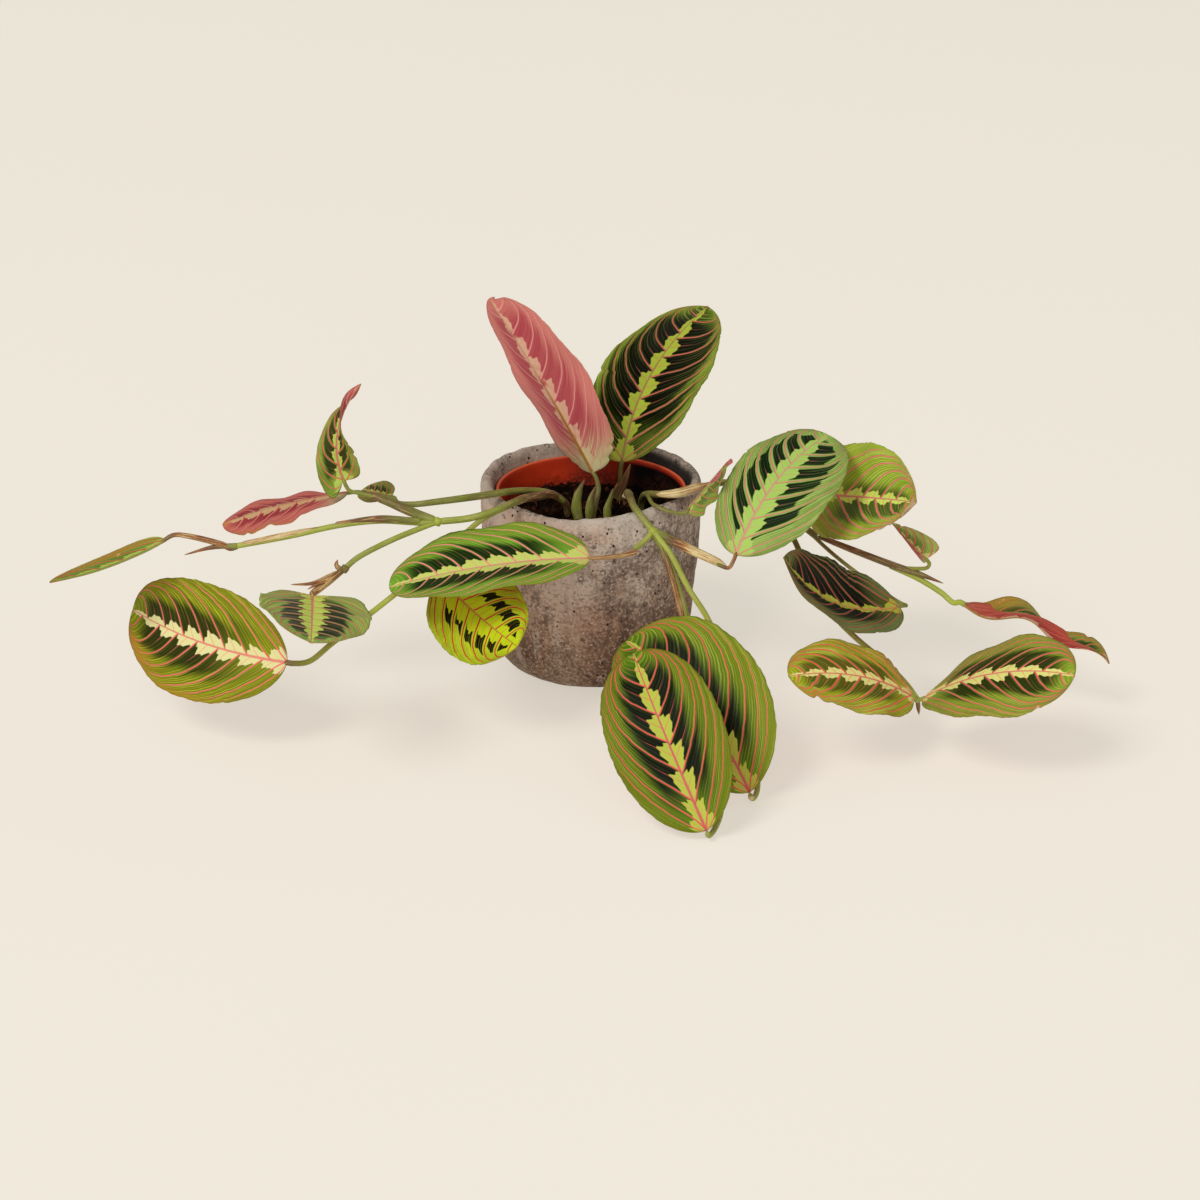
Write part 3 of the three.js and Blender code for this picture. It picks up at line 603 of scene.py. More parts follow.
def look(shades="", **others):
    """Values by name: the seven colours of an upper face, as screen codes, and any others."""
    named = {label.replace("_", " ").capitalize(): value for label, value in others.items()}
    return {**dict(zip(SHADES, shades.split())), **named}


USUAL_LOOK = look(
    "5f8a1c 86a63a b5c96a b4cf5e 122008 df6461 cf7263", rose="cc6a66", deep_rose="a84a4e",
    cream="d9b592", pale_vein="e09a94", under_rib="a8823a", under_foot="b4bf8a", band_width=0.24,
    valley=0.12, dark_end=0.54, dark_strength=0.97, softness=0.13, dark_start=0.3, margin=0.01,
    vein_width=1.0, offset=0.3, pleats=1.0, edge=0.5, turned=0.0, crisp=0.0, skew=0.0)


def new_group(name, inputs, outputs):
    """An empty shader node group with named sockets: its tree, its inputs and its output node."""
    tree = bpy.data.node_groups.new(name, "ShaderNodeTree")
    for labels, way in ((inputs, "INPUT"), (outputs, "OUTPUT")):
        for label, value in labels.items():
            kind = "NodeSocketColor" if isinstance(value, str) else "NodeSocketFloat"
            tree.interface.new_socket(label, in_out=way, socket_type=kind)
    return tree, tree.nodes.new("NodeGroupInput").outputs, tree.nodes.new("NodeGroupOutput")


print(len(USUAL_LOOK), "values a leaf")

# %% Veins, teeth and blotches
def leaf_marks(tree, value):
    """Masks of the leaf's marks, each from 0 to 1, from the numbers stored on the blade.

    t is the share of the way from one vein to the next, and near is how far the closer of them
    is, in millimetres. side is the share of the half width. The band ends where side passes a
    width that t makes into teeth, and the blotches where it passes an end that noise frays.
    """
    count, across, gap = numbers_of(tree, painted_on(tree, "weave"))
    along, upper, reach = numbers_of(tree, painted_on(tree, "lie"))
    spot = place(tree)
    uneven = cloud(tree, spot, 60, 2)
    fine = cloud(tree, spot, 420, 2)
    mottle = cloud(tree, spot, 170, 3, 0.6)
    other_half = across.rise(-0.001, 0.001)
    count = count + value("Offset") * other_half + (uneven - 0.5) * 0.14
    side = abs(across)
    t = count.part()
    near = t.least(1 - t) * gap
    whim = cloud(tree, joined(tree, (count - t) * 3.7, other_half * 5), 1.0, 0)
    streak = cloud(tree, joined(tree, count * 13, across * 1.3, along), 1.0, 2)
    begun = count.rise(-1.3, -0.98)

    thick = (1.0 - side * 0.5) * 0.5 * value("Vein width")
    vein = 1 - near.rise(thick * 0.6, thick * 1.05 + 0.1)
    vein = vein * begun * (1 - side.rise(0.87, 0.97)) * (1 - along.rise(0.95, 0.99))
    fork_thick = (1 - side * 2.2).most(0.0) * 0.26
    fork = 1 - (abs(t - 0.5) * gap).rise(fork_thick * 0.5, fork_thick + 0.14)
    fork = fork * begun * (1 - side.rise(0.28, 0.5)) * streak.rise(0.3, 0.5)
    facing = upper.rise(0.4, 0.6) * (1 - value("Turned") * (1 - across.rise(-0.05, 0.0)))
    rib_half = 0.85 - along * 0.6 + (1 - upper) * (0.8 - along * 0.5)
    rib = 1 - (side * reach).rise(rib_half * 0.6, rib_half * 1.4)

    tooth = (t * 0.9 + 0.55).least(1 - (t - 0.5) * (1 - value("Valley")) * 2.15)
    jag = abs((t * 3.5).part() - 0.5) * (0.42 - value("Crisp") * 0.15) + (fine - 0.5) * 0.22
    jag = jag + (uneven - 0.5) * 0.5
    foot = (1 - along.rise(0.0, 0.11)) * 0.6
    width = value("Band width") * (tooth + jag - 0.1) * (1 - along ** 3 * 0.6) + foot
    band = 1 - side.rise(width - 0.01, width + 0.014)

    spikes = abs((t * 1.5 + whim * 3).part() - 0.5) * 0.3 + 0.3
    fringe = streak * 0.6 + (spikes - streak * 0.6) * value("Crisp")
    skew = 1 + (other_half * 2 - 1) * value("Skew")
    end = value("Dark end") * (0.35 + fringe + whim * 0.7 + (t - 0.5) * 0.3) * skew
    grow = along.rise(0.05, value("Dark start")) * (1 - along.rise(0.84, 0.97))
    end = end * (1 - (1 - grow) * value("Crisp") * 0.7)
    dark = 1 - side.rise(end - value("Softness"), end + value("Softness"))
    clear = value("Margin")
    dark = dark * t.rise(clear * 0.6, clear * 1.4 + 0.01)
    dark = dark * (1 - t.rise(0.99 - clear * 1.4, 1 - clear * 0.6))
    dark = dark * grow.most(value("Crisp") * along.rise(0.02, 0.06) * (1 - along.rise(0.92, 0.95)))
    dark = dark * (near.rise(0.4, 1.3) * 0.35 + 0.65) * value("Dark strength")

    strand = cloud(tree, joined(tree, count * 11, across * 0.9, along), 1.0, 1)
    comb = abs((count * 5 + strand * 1.2).part() - 0.5) * 2
    ribbed = (side * 0.4 + 0.6) * (strand.rise(0.3, 0.62) * 0.8 + 0.2) * value("Pleats")
    # painted highlight along the pleats' crests and painted shade in their grooves; their relief is
    # the bump
    pleat = comb.rise(0.45, 0.95) * ribbed
    groove = (1 - comb.rise(0.0, 0.45)) * ribbed
    edge = (1 - ((1 - side) * reach).rise(0.15, 0.6)) * uneven.rise(0.35, 0.6) * value("Edge")
    return SimpleNamespace(**locals())


def leaf_group():
    """The whole blade: its upper face, its underside, and its dried places and edge."""
    tree, given, result = new_group("maranta blade", USUAL_LOOK,
                                    {"Color": "000000", "Roughness": 0.5, "Height": 0.0})
    m = leaf_marks(tree, lambda label: Amount(tree, given[label]))
    green = coated(tree, given["Inner green"],
                   (m.side.rise(0.2, 0.95), given["Outer green"]),
                   (m.uneven.rise(0.35, 0.7) * 0.3, given["Outer green"]),
                   (m.mottle.rise(0.45, 0.7) * 0.35, given["Inner green"]),
                   # painted highlight along the pleats, then painted shade in their grooves
                   (m.pleat * (m.mottle * 0.6 + 0.6), given["Pleat"]),
                   (m.groove * 0.25, given["Dark"]))
    face = coated(tree, green,
                  (m.dark * (1 - m.pleat * m.side * 0.35), given["Dark"]),
                  (m.band, given["Band"]),
                  (m.fork * 0.7, given["Vein"]),
                  (m.vein, given["Vein"]),
                  (m.rib, given["Rib"]))
    deep = (m.dark * 0.85 + m.streak.rise(0.45, 0.75) * 0.3).least(1)
    broken = m.uneven.rise(0.3, 0.45) * (m.streak * 0.4 + 0.6)
    foot = 1 - (m.along + (m.streak - 0.5) * 0.6).rise(0.02, 0.2)
    back = coated(tree, given["Rose"],
                  (deep, given["Deep rose"]),
                  (m.band * broken, given["Cream"]),
                  (foot * 0.85, given["Under foot"]),
                  (m.vein * 0.75, given["Pale vein"]),
                  (m.rib * (1 - m.along.rise(0.3, 0.65) * 0.75), given["Under rib"]))
    dry = numbers_of(tree, painted_on(tree, "dry"))[0]
    dry = dry + (m.fine - 0.5) * dry
    papery = dry.rise(0.6, 0.85)
    colour = coated(tree, between(tree, m.facing, back, face),
                    (m.edge, "8d5c2b"),
                    (dry.rise(0.0, 0.7) * 0.75, "b07a26"),
                    (papery, between(tree, m.fine, "9a6a35", "e2cda6")))
    shine = 0.46 - m.dark * 0.08 + m.streak * 0.12 + papery * 0.3 + (1 - m.facing) * 0.12
    relief = m.comb * 0.1 - m.vein * 0.12 - m.rib * 0.14
    relief = relief * (m.facing * 2 - 1) + m.fine * 0.05
    for socket, value in zip(result.inputs, (colour, shine, relief)):
        plug(tree, socket, value)
    return tree


LEAF_GROUP = leaf_group()
print(len(LEAF_GROUP.nodes), "nodes in the leaf pattern")

# %% Dressing the leaves
def leaf_pattern(values):
    """A pattern that places the leaf group with one leaf's own values."""
    def pattern(tree):
        return placed(tree, "Group", {**USUAL_LOOK, **values}, node_tree=LEAF_GROUP).outputs
    return pattern


FRESH = "4e7404 667006 b4c04a b4bb48 020400 e2565a cc6260"
LOOKS = {
    "leaf_up_left": look(band_width=0.25, valley=0.15, under_rib="a0702a", rose="cf7c72",
        deep_rose="ab434d", pale_vein="ec9a96", dark_end=0.62, softness=0.2, cream="dcb294",
        under_foot="c4c88e"),
    "leaf_up_right": look("2c4a06 86a430 ccd868 c6da4c 020301 ee7a70 c09a64", crisp=0.25,
        dark_end=0.82, softness=0.09, valley=0.08),
    "leaf_left_curl": look("9cae3e 6a8a24 bdb96c b4cc5c 0d1902 e0605c c8786a", dark_end=0.64,
        dark_strength=0.92, dark_start=0.15, vein_width=0.8),
    "leaf_left_pink": look(band_width=0.34, rose="c0655a", deep_rose="8f2c34", cream="c9a878",
        under_rib="b8705a", vein_width=0.7, pale_vein="d8907c"),
    "leaf_left_back": look("6c8a28 7d8c34 a5ae5a b1da50 2c3a12 d8695a c98a6a"),
    "leaf_left_far": look("6f9030 8ca540 c0d060 a3c14e 2c4a10 b8553c c9855c", dark_strength=0.4,
        edge=1.0),
    "leaf_left_big": look("7a8c07 72740a bfc238 dad898 252a02 ee6670 e08a78", dark_start=0.5),
    "leaf_left_middle": look("74a044 8aa040 dce082 c7de5e 10180a e2606a d98a72", band_width=0.32,
        valley=0.4, dark_end=0.56, softness=0.06, margin=0.07, crisp=0.7),
    "leaf_front_long": look("6aa82a 798c27 9ec64c c5d16a 0b1a01 f48c88 e08a80", valley=0.4,
        dark_end=0.58, band_width=0.26),
    "leaf_front_round": look("c8de18 96aa12 c5d042 bcd418 020201 c4302f c08a3c", band_width=0.44,
        valley=0.6, softness=0.015, margin=0.15, crisp=1.0, vein_width=1.2, dark_strength=1.0),
    "leaf_right_big": look("90b350 76923a bccb7c a6c860 051e01 e2707e cf9a80", band_width=0.3,
        valley=0.6, dark_end=0.62, softness=0.02, margin=0.14, crisp=1.0, vein_width=0.85,
        dark_strength=1.0),
    "leaf_right_back": look("8cb222 98ae26 e0e880 d2ea67 1f3802 ec7478 dd8a78", dark_end=0.4,
        dark_strength=0.8, skew=0.45, band_width=0.18, vein_width=1.35),
    "leaf_right_small": look("a8d855 a8c84a cfee78 e0f080 3c5a10 f89a84 d68a70", dark_strength=0.6),
    "leaf_right_dark": look("40480e 6c6e3e 84a058 a0aa38 030402 b94848 b9864c", band_width=0.14,
        vein_width=0.75, dark_end=0.85, softness=0.12, skew=0.4),
    "leaf_right_curl": look("84a648 a8b85c c4cc80 c8d080 3a5620 df685c c98a62", dark_strength=0.5,
        turned=1.0),
    "leaf_right_far": look("6c8a30 7d8c33 b8bc60 c4c870 303f12 d85f4c b9803f", dark_end=0.5,
        under_foot="b05a4c", rose="bc4c3e", deep_rose="a2322c", pale_vein="d07062", edge=1.0),
    "leaf_low_left": look("a0ae10 93910c e4de78 e2dc88 2c2601 f4525a dc8064", dark_strength=0.8,
        edge=1.0),
    "leaf_low_right": look("7ea41a 81852f bbb851 dbda7e 212901 ec5f66 e08470", band_width=0.22,
        dark_end=0.55),
    "leaf_ground_back": look(FRESH, outer_green="74800f", pleat="c8d662", offset=0.2, dark_end=0.5,
        softness=0.16, pleats=0.65),
    "leaf_ground_front": look(FRESH, offset=0.12, softness=0.16, pleats=0.65),
}
for blade in BLADES:
    pattern = leaf_pattern(LOOKS[blade.name])
    material = finish(blade.name.replace("_", " "), pattern, Specular_IOR_Level=0.1)
    dress(blade_piece(blade), material, "leaf", blade.name)

# %% [markdown]
# ## Stems, petioles and sheaths
# The stems sprawl over the rim, jointed at nodes that each carry a sheath and a leaf. Each stretch
# is a curve through a few measured points, with a ring carried along it whose radius may change.
# A curve object with a bevel would do, but rings worked out in numpy can flatten a sheath, round
# off a torn end and store how far along the stem each point is, which the streaks then follow.

# %% Routes and tubes
CURVE_STEPS = 24
RIDGES, RIDGE_HEIGHT = 5, 0.03
GRAIN_PER_MM = 0.06


def lengths_along(points):
    """How far along a line of points each one is."""
    return np.concatenate([[0], np.cumsum(np.linalg.norm(np.diff(points, axis=0), axis=1))])


def at_lengths(points, length, places):
    """The line's points at the given places along it."""
    return np.stack([np.interp(places, length, numbers) for numbers in points.T], axis=1)


def route(points, step):
    """A smooth curve through the points, evenly stepped, and each place's share of the way.

    Between two points it is the centripetal Catmull-Rom cubic: the slope at a point comes from
    its neighbours, weighed by the square roots of the distances to them.
    """
    points = np.asarray(points, float)
    ends = np.vstack([2 * points[0] - points[1], points, 2 * points[-1] - points[-2]])
    gaps = np.sqrt(np.linalg.norm(np.diff(ends, axis=0), axis=1))[:, None]
    before, here, after, beyond = ends[:-3], ends[1:-2], ends[2:-1], ends[3:]
    g0, g1, g2 = gaps[:-2], gaps[1:-1], gaps[2:]
    leave = ((here - before) / g0 - (after - before) / (g0 + g1) + (after - here) / g1) * g1
    reach = ((after - here) / g1 - (beyond - here) / (g1 + g2) + (beyond - after) / g2) * g1
    w = np.linspace(0, 1, CURVE_STEPS, endpoint=False)[None, :, None]
    here, after, leave, reach = (v[:, None, :] for v in (here, after, leave, reach))
    curve = here + leave * w + (3 * (after - here) - 2 * leave - reach) * w ** 2
    curve = curve + (2 * (here - after) + leave + reach) * w ** 3
    curve = np.vstack([curve.reshape(-1, 3), points[-1]])
    length = lengths_along(curve)
    even = np.linspace(0, length[-1], max(6, int(length[-1] / step)))
    share = np.interp(even, length, np.linspace(0, 1, len(length)))
    return at_lengths(curve, length, even), share, even


def tube(points, radii, age, flat=1.0, sides=14, step=1.5):
    """A closed tube: centre + radius (cos a side + flat sin a other), rounded off at both ends.

    side and other are square to the curve. They are found from the direction that the curve
    bends towards least, so they never spin. age is 0 where it is young and green, to 1 where dry.
    """
    line, share, length = route(points, step)
    radii, age = np.atleast_1d(radii), np.atleast_1d(age)
    radius = np.interp(share, np.linspace(0, 1, len(radii)), radii)
    nearest_end = np.minimum(length, length[-1] - length) + 0.02
    radius = radius * np.sqrt(np.minimum(1, nearest_end / radius))
    tangent = unit(np.gradient(line, axis=0))
    least = np.linalg.svd(tangent)[2][-1]
    side = unit(np.cross(tangent, least))
    other = np.cross(tangent, side)
    angle = np.arange(sides) * 2 * np.pi / sides
    swell = radius[:, None] * (1 + RIDGE_HEIGHT * np.cos(RIDGES * angle))[None, :]
    rings = line[:, None] + side[:, None] * (swell * np.cos(angle))[..., None]
    rings = rings + other[:, None] * (swell * flat * np.sin(angle))[..., None]
    places = np.vstack([rings.reshape(-1, 3), line[0], line[-1]])
    grain = np.stack([np.cos(angle) + 0 * swell, np.sin(angle) + 0 * swell,
                      GRAIN_PER_MM * length[:, None] + 0 * swell], axis=-1).reshape(-1, 3)
    grain = np.vstack([grain, grain[0], grain[-1]])
    aged = np.interp(share, np.linspace(0, 1, len(age)), age)
    aged = np.concatenate([np.repeat(aged, sides), [aged[0], aged[-1]]])
    return places, grid_faces(len(line), sides, wrap=True), fans(len(line), sides), grain, aged


def knot(centre, radius, age):
    """The swelling at a node: a short tube that its rounded ends make into a bead."""
    x, y, z = centre
    return tube([[x - radius, y, z - 0.3 * radius], centre, [x + radius, y, z + 0.3 * radius]],
                [radius * 0.7, radius, radius * 0.7], age, step=0.5)


def together(parts):
    """Several surfaces as the arrays of one mesh: each one's faces count on from the last's."""
    starts = np.cumsum([0] + [len(part[0]) for part in parts])
    moved = [(p[0], p[1] + start, p[2] + start, *p[3:]) for p, start in zip(parts, starts)]
    return [np.concatenate(arrays) for arrays in zip(*moved)]


def stem_piece(name, tubes, node):
    """All the tubes of a stem as one piece that stands for its solid."""
    *surface, grain, age = together(tubes)
    dress(mesh_piece(name, *surface, grain=grain, age=age), STEM_FINISH, "stem", node)


BLADE_NAMED = {blade.name: blade for blade in BLADES}


def into(name, run=6):
    """The last two points of a petiole: it runs straight to its blade and a little way into it."""
    blade = BLADE_NAMED[name]
    along = blade_frame(blade, np.zeros(1))[0][0]
    return [list(np.array(blade.base) - along * gap) for gap in (run, -2.0)]


print("a node's bead has", len(knot([0, 0, 0], 3, 0)[0]), "points")

# %% [markdown]
# ## The colour of stems
# Young stalks are lime green, older ones olive, sheaths brown and purple with pale stripes, and
# spent ones dry to straw. One material runs through all of these by the age stored on the mesh,
# and streaks of noise that are stretched along the stem give it fibre.

# %% Stem material
def ramp(tree, amount, stops):
    """A colour that runs through the given stops as the amount goes from 0 to 1."""
    node = placed(tree, "ValToRGB", (amount,))
    points = node.color_ramp.elements
    while len(points) < len(stops):
        points.new(0.5)
    for point, (where, code) in zip(points, stops):
        point.position = where
        point.color = paint(code)
    return node.outputs[0]


def stem_pattern(tree):
    """Green to straw by age, with stripes of fibre that show more on sheaths."""
    age = numbers_of(tree, painted_on(tree, "age"))[0]
    fibre = stretched(tree, painted_on(tree, "grain"), (4.0, 4.0, 1.0))
    fibre = cloud(tree, fibre, 1.3, 3, 0.6)
    patch = cloud(tree, place(tree), 90, 3)
    tint = age + (fibre - 0.5) * (age.rise(0.05, 0.4) * 1.1 + 0.15) + (patch - 0.5) * 0.3
    colour = ramp(tree, tint, [(0.0, "a9b53a"), (0.2, "8c9436"), (0.4, "6f7428"), (0.56, "66522a"),
                               (0.72, "743a2c"), (0.86, "ae763c"), (1.0, "dcc993")])
    pale = fibre.rise(0.52, 0.61) * (0.5 - age.rise(0.6, 0.85) * 0.25)
    return (between(tree, pale, colour, "cfc581"), fibre * 0.25 + 0.42,
            fibre * 0.35 + patch * 0.1)


STEM_FINISH = finish("living stem", stem_pattern, Specular_IOR_Level=0.4)
print("stem finish made")

# %% [markdown]
# ## Laying the stems
# The points below are those of the solids, so each finer stem lies where its solid does.

# %% The petioles in the pot
SOIL_TOP = 98
ROOT_FOOT = SOIL_TOP - 12


def rooted(x, y):
    """The first two points of what grows straight up out of the soil."""
    return [[x, y, ROOT_FOOT], [x, y, SOIL_TOP + 5]]


stem_piece("petioles_up_left", [
    tube([[-3, -8, ROOT_FOOT], [-3, -8, 96], [-3, -8, 101]], [4, 5.2, 3.6], [0.5, 0.5]),
    tube([[1, -8, 88], [1, -8, 101], [3, -6, 110], [4.4, -2.5, 117], *into("leaf_up_left", 5)],
         [1.9, 1.8, 1.5, 1.3], [0.75, 0.62, 0.52, 0.46]),
    tube([[-6, -8, 94], [-9, -8, 106], [-8, -8, 116], [-4, -7, 125]], [2.6, 3.4, 2.4, 0.3],
         [0.5, 0.36, 0.42, 0.7], 0.6),
    tube([[0, -9, 94], [-1, -10.5, 106], [0, -10.5, 114], [3, -9, 122]], [2.6, 3.2, 2.3, 0.3],
         [0.5, 0.34, 0.45, 0.7], 0.6),
], "petiole_up_left")
stem_piece("petioles_up_right", [
    tube([*rooted(17, 28), [18, 27, 111], *into("leaf_up_right")], [1.7, 1.5, 1.3],
         [0.5, 0.55, 0.45]),
    tube([*rooted(17, 28), [19, 27, 108], [22, 25, 116], [24.5, 24, 124]],
         [2.6, 3.8, 3.4, 1.8, 0.3], [0.5, 0.66, 0.72, 0.8], 0.7),
], "petiole_up_right")
stem_piece("bud_sheaths", [
    tube([*rooted(10, -7), [10, -7, 106], [12, -6.5, 113], [13.5, -6, 119]],
         [2, 2.7, 2.5, 1.5, 0.3], [0.5, 0.38, 0.45, 0.7], 0.7),
], "bud_sheath")

# %% The stem to the left
node = [-91, -80, 126]
bract_node = [-145, -105, 106]
fork = [-124, -76, 139]
stem_piece("stems_left", [
    tube([*rooted(-15, 2), [-18, -2, 109], [-24, -10, 116], [-32, -28, 122], [-41, -48, 128],
          [-48, -57, 128.4], [-57, -66, 127.5], [-72, -73, 125.5], node],
         [2.3, 2.6, 2.8, 2.5, 2.1, 2.1], [0.6, 0.66, 0.7, 0.6, 0.25, 0.12]),
    tube([[-16, -4, 108], [-22, -7, 114], [-27, -11, 118], [-42, -25, 124.5], [-55, -38, 128.2],
          [-68, -47, 129.5], [-91, -57, 130], [-108, -62, 130], [-116, -64, 132],
          *into("leaf_left_back", 4)], [2.4, 2.8, 3.0, 2.2, 1.5], [0.5, 0.4, 0.42, 0.36, 0.3],
         0.75),
    knot(node, 3.1, 0.05),
    tube([node, [-107, -79, 132], fork, [-136, -75, 142.5]], [2.6, 3.1, 3, 1.0],
         [0.2, 0.5, 0.55, 0.62, 0.7], 0.7),
    tube([fork, [-136, -76.5, 142.5], [-143, -78, 145], *into("leaf_left_curl", 4)], 1.2, 0.3),
    tube([fork, [-133, -69, 139.5], *into("leaf_left_pink", 5)], 1.2, 0.35),
    tube([node, [-101, -82, 126], [-125, -84, 128], [-149, -86, 126], [-178, -88, 120],
          [-212, -90, 114]], 1.7, [0.2, 0.2, 0.12, 0.08, 0.12]),
    tube([[-100, -82, 126.5], [-125, -84, 129], [-152, -86, 126.5]], [2.4, 2.6, 1.6],
         [0.35, 0.62, 0.75], 0.8),
    tube([[-208, -90, 114.6], [-213, -90.5, 113.2], [-219, -91, 116], [-238, -92, 121.5],
          *into("leaf_left_far")], [1.3, 1.9, 1.8, 1.4, 1.2], [0.2, 0.85, 0.82, 0.84, 0.5], 0.7),
    tube([[-158, -86.5, 125.2], [-180, -88, 120.8], [-207, -90, 115.6]], [0.6, 1.7, 1.9, 1.4],
         [0.85, 1.0, 1.0, 0.9]),
    tube([[-208, -90, 114.6], [-224, -91, 114], [-241, -92, 109.5]], [1.8, 1.4, 0.3],
         [0.3, 0.72, 0.85]),
    tube([node, [-101, -83, 123], [-119, -91, 118], [-138, -101, 111], bract_node], 1.7,
         [0.1, 0.2, 0.25]),
    knot(bract_node, 2.9, 0.55),
    tube([bract_node, [-152, -104, 100], [-161, -101, 91.5], *into("leaf_left_middle", 5)],
         [1.6, 2.4, 2.2, 1.2], [0.6, 0.9, 0.82, 0.8]),
    tube([[-148, -104, 103], [-156, -103, 99], [-165, -101, 95], [-178, -98, 93]],
         [2.4, 2, 1.2, 0.3], [0.8, 0.86, 0.78, 0.8], 0.6),
    tube([[-147, -105, 105], [-150, -104, 108], [-149, -104, 111.5]], [2, 1.5, 0.3],
         [0.85, 0.9, 0.8], 0.6),
    tube([[-155, -104, 98], [-161, -103, 95.5], [-168, -102, 91.5]], [1.4, 1.0, 0.3],
         [0.82, 0.8, 0.86], 0.6),
    tube([[-56, -65, 127], [-62, -61, 122], [-68, -56, 116], [-78, -57, 107], [-91, -68, 98],
          [-116, -98, 87], [-129, -106, 79], [-153, -122, 65], [-165, -132, 58.5],
          *into("leaf_left_big", 5)], 1.7, [0.3, 0.2, 0.1, 0.1, 0.2, 0.75]),
    tube([[-88, -65, 99.5], [-95, -64, 95], *into("leaf_front_round", 5)], 1.2, 0.3),
], "stem_left")

# %% The stem to the front
node = [37, -78, 119]
stem_piece("stems_front", [
    tube([*rooted(22, 14), [22, 6, 110], [23, -24, 122], [24, -48, 127.8], [26, -62, 128],
          [31, -71, 124.5], node], [2.2, 2.6, 2.2, 2.1], [0.7, 0.75, 0.5, 0.6, 0.4, 0.2]),
    knot([22.5, -4, 113.5], 3.4, 0.95),
    knot(node, 3, 0.1),
    tube([node, [32, -82, 114.5], [25, -86, 110.5]], 1.7, [0.15, 0.25]),
    tube([[28, -86, 109.5], [18, -91, 108.6], *into("leaf_front_long")], [1.75, 1.4, 1.15, 1.0],
         [0.82, 0.86, 0.84, 0.8]),
    tube([node, [59, -82, 109], [76, -86, 102], [82, -88, 98.5]], [2.6, 3.0, 2.6, 0.6],
         [0.3, 0.95, 1.0, 1.0], 0.7),
    tube([[72, -85, 103.5], [78, -88.5, 100.8], [82, -90.5, 100.6], *into("leaf_right_big", 4)],
         1.2, [0.3, 0.8, 0.75]),
    tube([node, [47, -88, 109], [58, -97, 90], [70, -104, 72], [82, -112, 40], [90, -122, 14],
          [95, -140, 4], [97, -172, 2.3], [96, -190, 2.4], [94, -200, 3.2], [92.2, -204.6, 5],
          BLADE_NAMED["leaf_ground_back"].base], [1.7, 1.7, 1.7, 1.4],
         [0.12, 0.1, 0.12, 0.15, 0.2]),
    knot([92, -204.5, 5.5], 1.9, 0.95),
    tube([node, [44, -85, 108], [52, -90, 88], [58, -95, 68], [63, -104, 38], [67, -118, 12],
          [70, -136, 4], [74, -175, 2.3], [74, -218, 2.3], [70, -238, 2.4], [67.5, -246, 3],
          [66, -250.3, 4.6], BLADE_NAMED["leaf_ground_front"].base], [1.7, 1.7, 1.7, 1.4],
         [0.15, 0.3, 0.2, 0.15, 0.2]),
    tube([node, [44, -86, 106], [50, -91, 88], [54, -94, 72], [56, -96, 62]],
         [2.4, 2.6, 2.2, 1.8, 0.3], [0.3, 0.7, 0.78, 0.8], 0.7),
], "stem_front")

# %% The stem to the right
node = [193, -131, 33]
stem_piece("stems_right", [
    tube([*rooted(31, 9), [32, 2, 110], [35, -24, 122], [39, -40, 128], [51, -43, 129],
          [67, -31, 129], [84, -17, 126.5], [102, -19, 120], [122, -20, 106], [139, -26, 94]], 2.1,
         [0.5, 0.45, 0.6, 0.5, 0.6]),
    tube([[39, -42, 128.6], [52, -43, 129.8], [64, -35, 130.5], [72, -30, 131]],
         [2.6, 4.4, 4.0, 1.4], [0.95, 1.0, 0.95, 0.85], 0.6),
    tube([[34.5, -20, 120.5], [35, -42, 126.5], [38, -58, 128], [47, -66, 127],
          *into("leaf_right_small", 4)], 1.2, [0.4, 0.45, 0.4]),
    tube([[103, -19, 119.5], [118, -12, 118], [131, 1, 112.5], *into("leaf_right_back")], 1.2, 0.3),
    tube([[139, -27, 95.5], [158, -42, 93], [180, -54, 88.5], [199, -60.5, 84], [213, -64, 79.5]],
         [2, 2.7, 2.9, 2.4, 0.3], [0.6, 0.65, 0.6, 0.55, 0.8], 0.75),
    tube([[190, -58, 87], [198, -60, 87.5], [203, -61, 88.5], *into("leaf_right_curl", 3)], 1.2,
         0.2),
    tube([[180, -54, 87.5], [198, -60, 81], [212, -66, 74], [219, -70, 69.3],
          *into("leaf_right_far", 3)], 1.7, [0.2, 0.08, 0.05, 0.2]),
    tube([[132, -23, 98.5], [146, -42, 91], [161, -64, 86], [176, -71, 77], [186, -75, 71.5],
          [189.5, -78, 71], *into("leaf_right_dark", 3)], 1.2, [0.5, 0.4, 0.45]),
    tube([[113, -19.5, 113], [119, -32, 106], [124, -50, 100], [132, -71, 88], [146, -90, 69],
          [158, -99, 59], [175, -108, 47], [187, -119, 38], node], 1.7, [0.6, 0.5, 0.3, 0.2, 0.15]),
    knot(node, 2.3, 0.2),
    tube([node, *into("leaf_low_left", 1.5)], 1.2, 0.2),
    tube([node, *into("leaf_low_right", 1.5)], 1.2, 0.2),
    tube([node, [193.5, -132, 28], [194, -133, 24]], [1.8, 1.6, 0.3], [0.5, 0.85], 0.7),
], "stem_right")

# %% [markdown]
# ## The cement outer pot
# The pot was cast in a mould and left raw, so its form is a turned one with a soft foot and a
# round lip, and its surface is cloudy, pitted and a little uneven. The profile is the solid's, put
# in with arcs, and turned round the axis. Low swells move the surface by a fraction of a
# millimetre, which breaks up its outline as casting does. Finer pits are left to the material.

# %% Turned shapes
def turned(profile, sides):
    """A profile of (radius, height) carried round the axis: x = r cos a, y = r sin a."""
    radius, height = np.asarray(profile, float).T
    angle = np.arange(sides) * 2 * np.pi / sides
    inner = slice(1, -1)
    rings = np.stack([radius[inner, None] * np.cos(angle), radius[inner, None] * np.sin(angle),
                      height[inner, None] + 0 * angle], axis=-1)
    points = np.vstack([rings.reshape(-1, 3), [0, 0, height[0]], [0, 0, height[-1]]])
    rows = len(radius) - 2
    return points, grid_faces(rows, sides, wrap=True), fans(rows, sides)


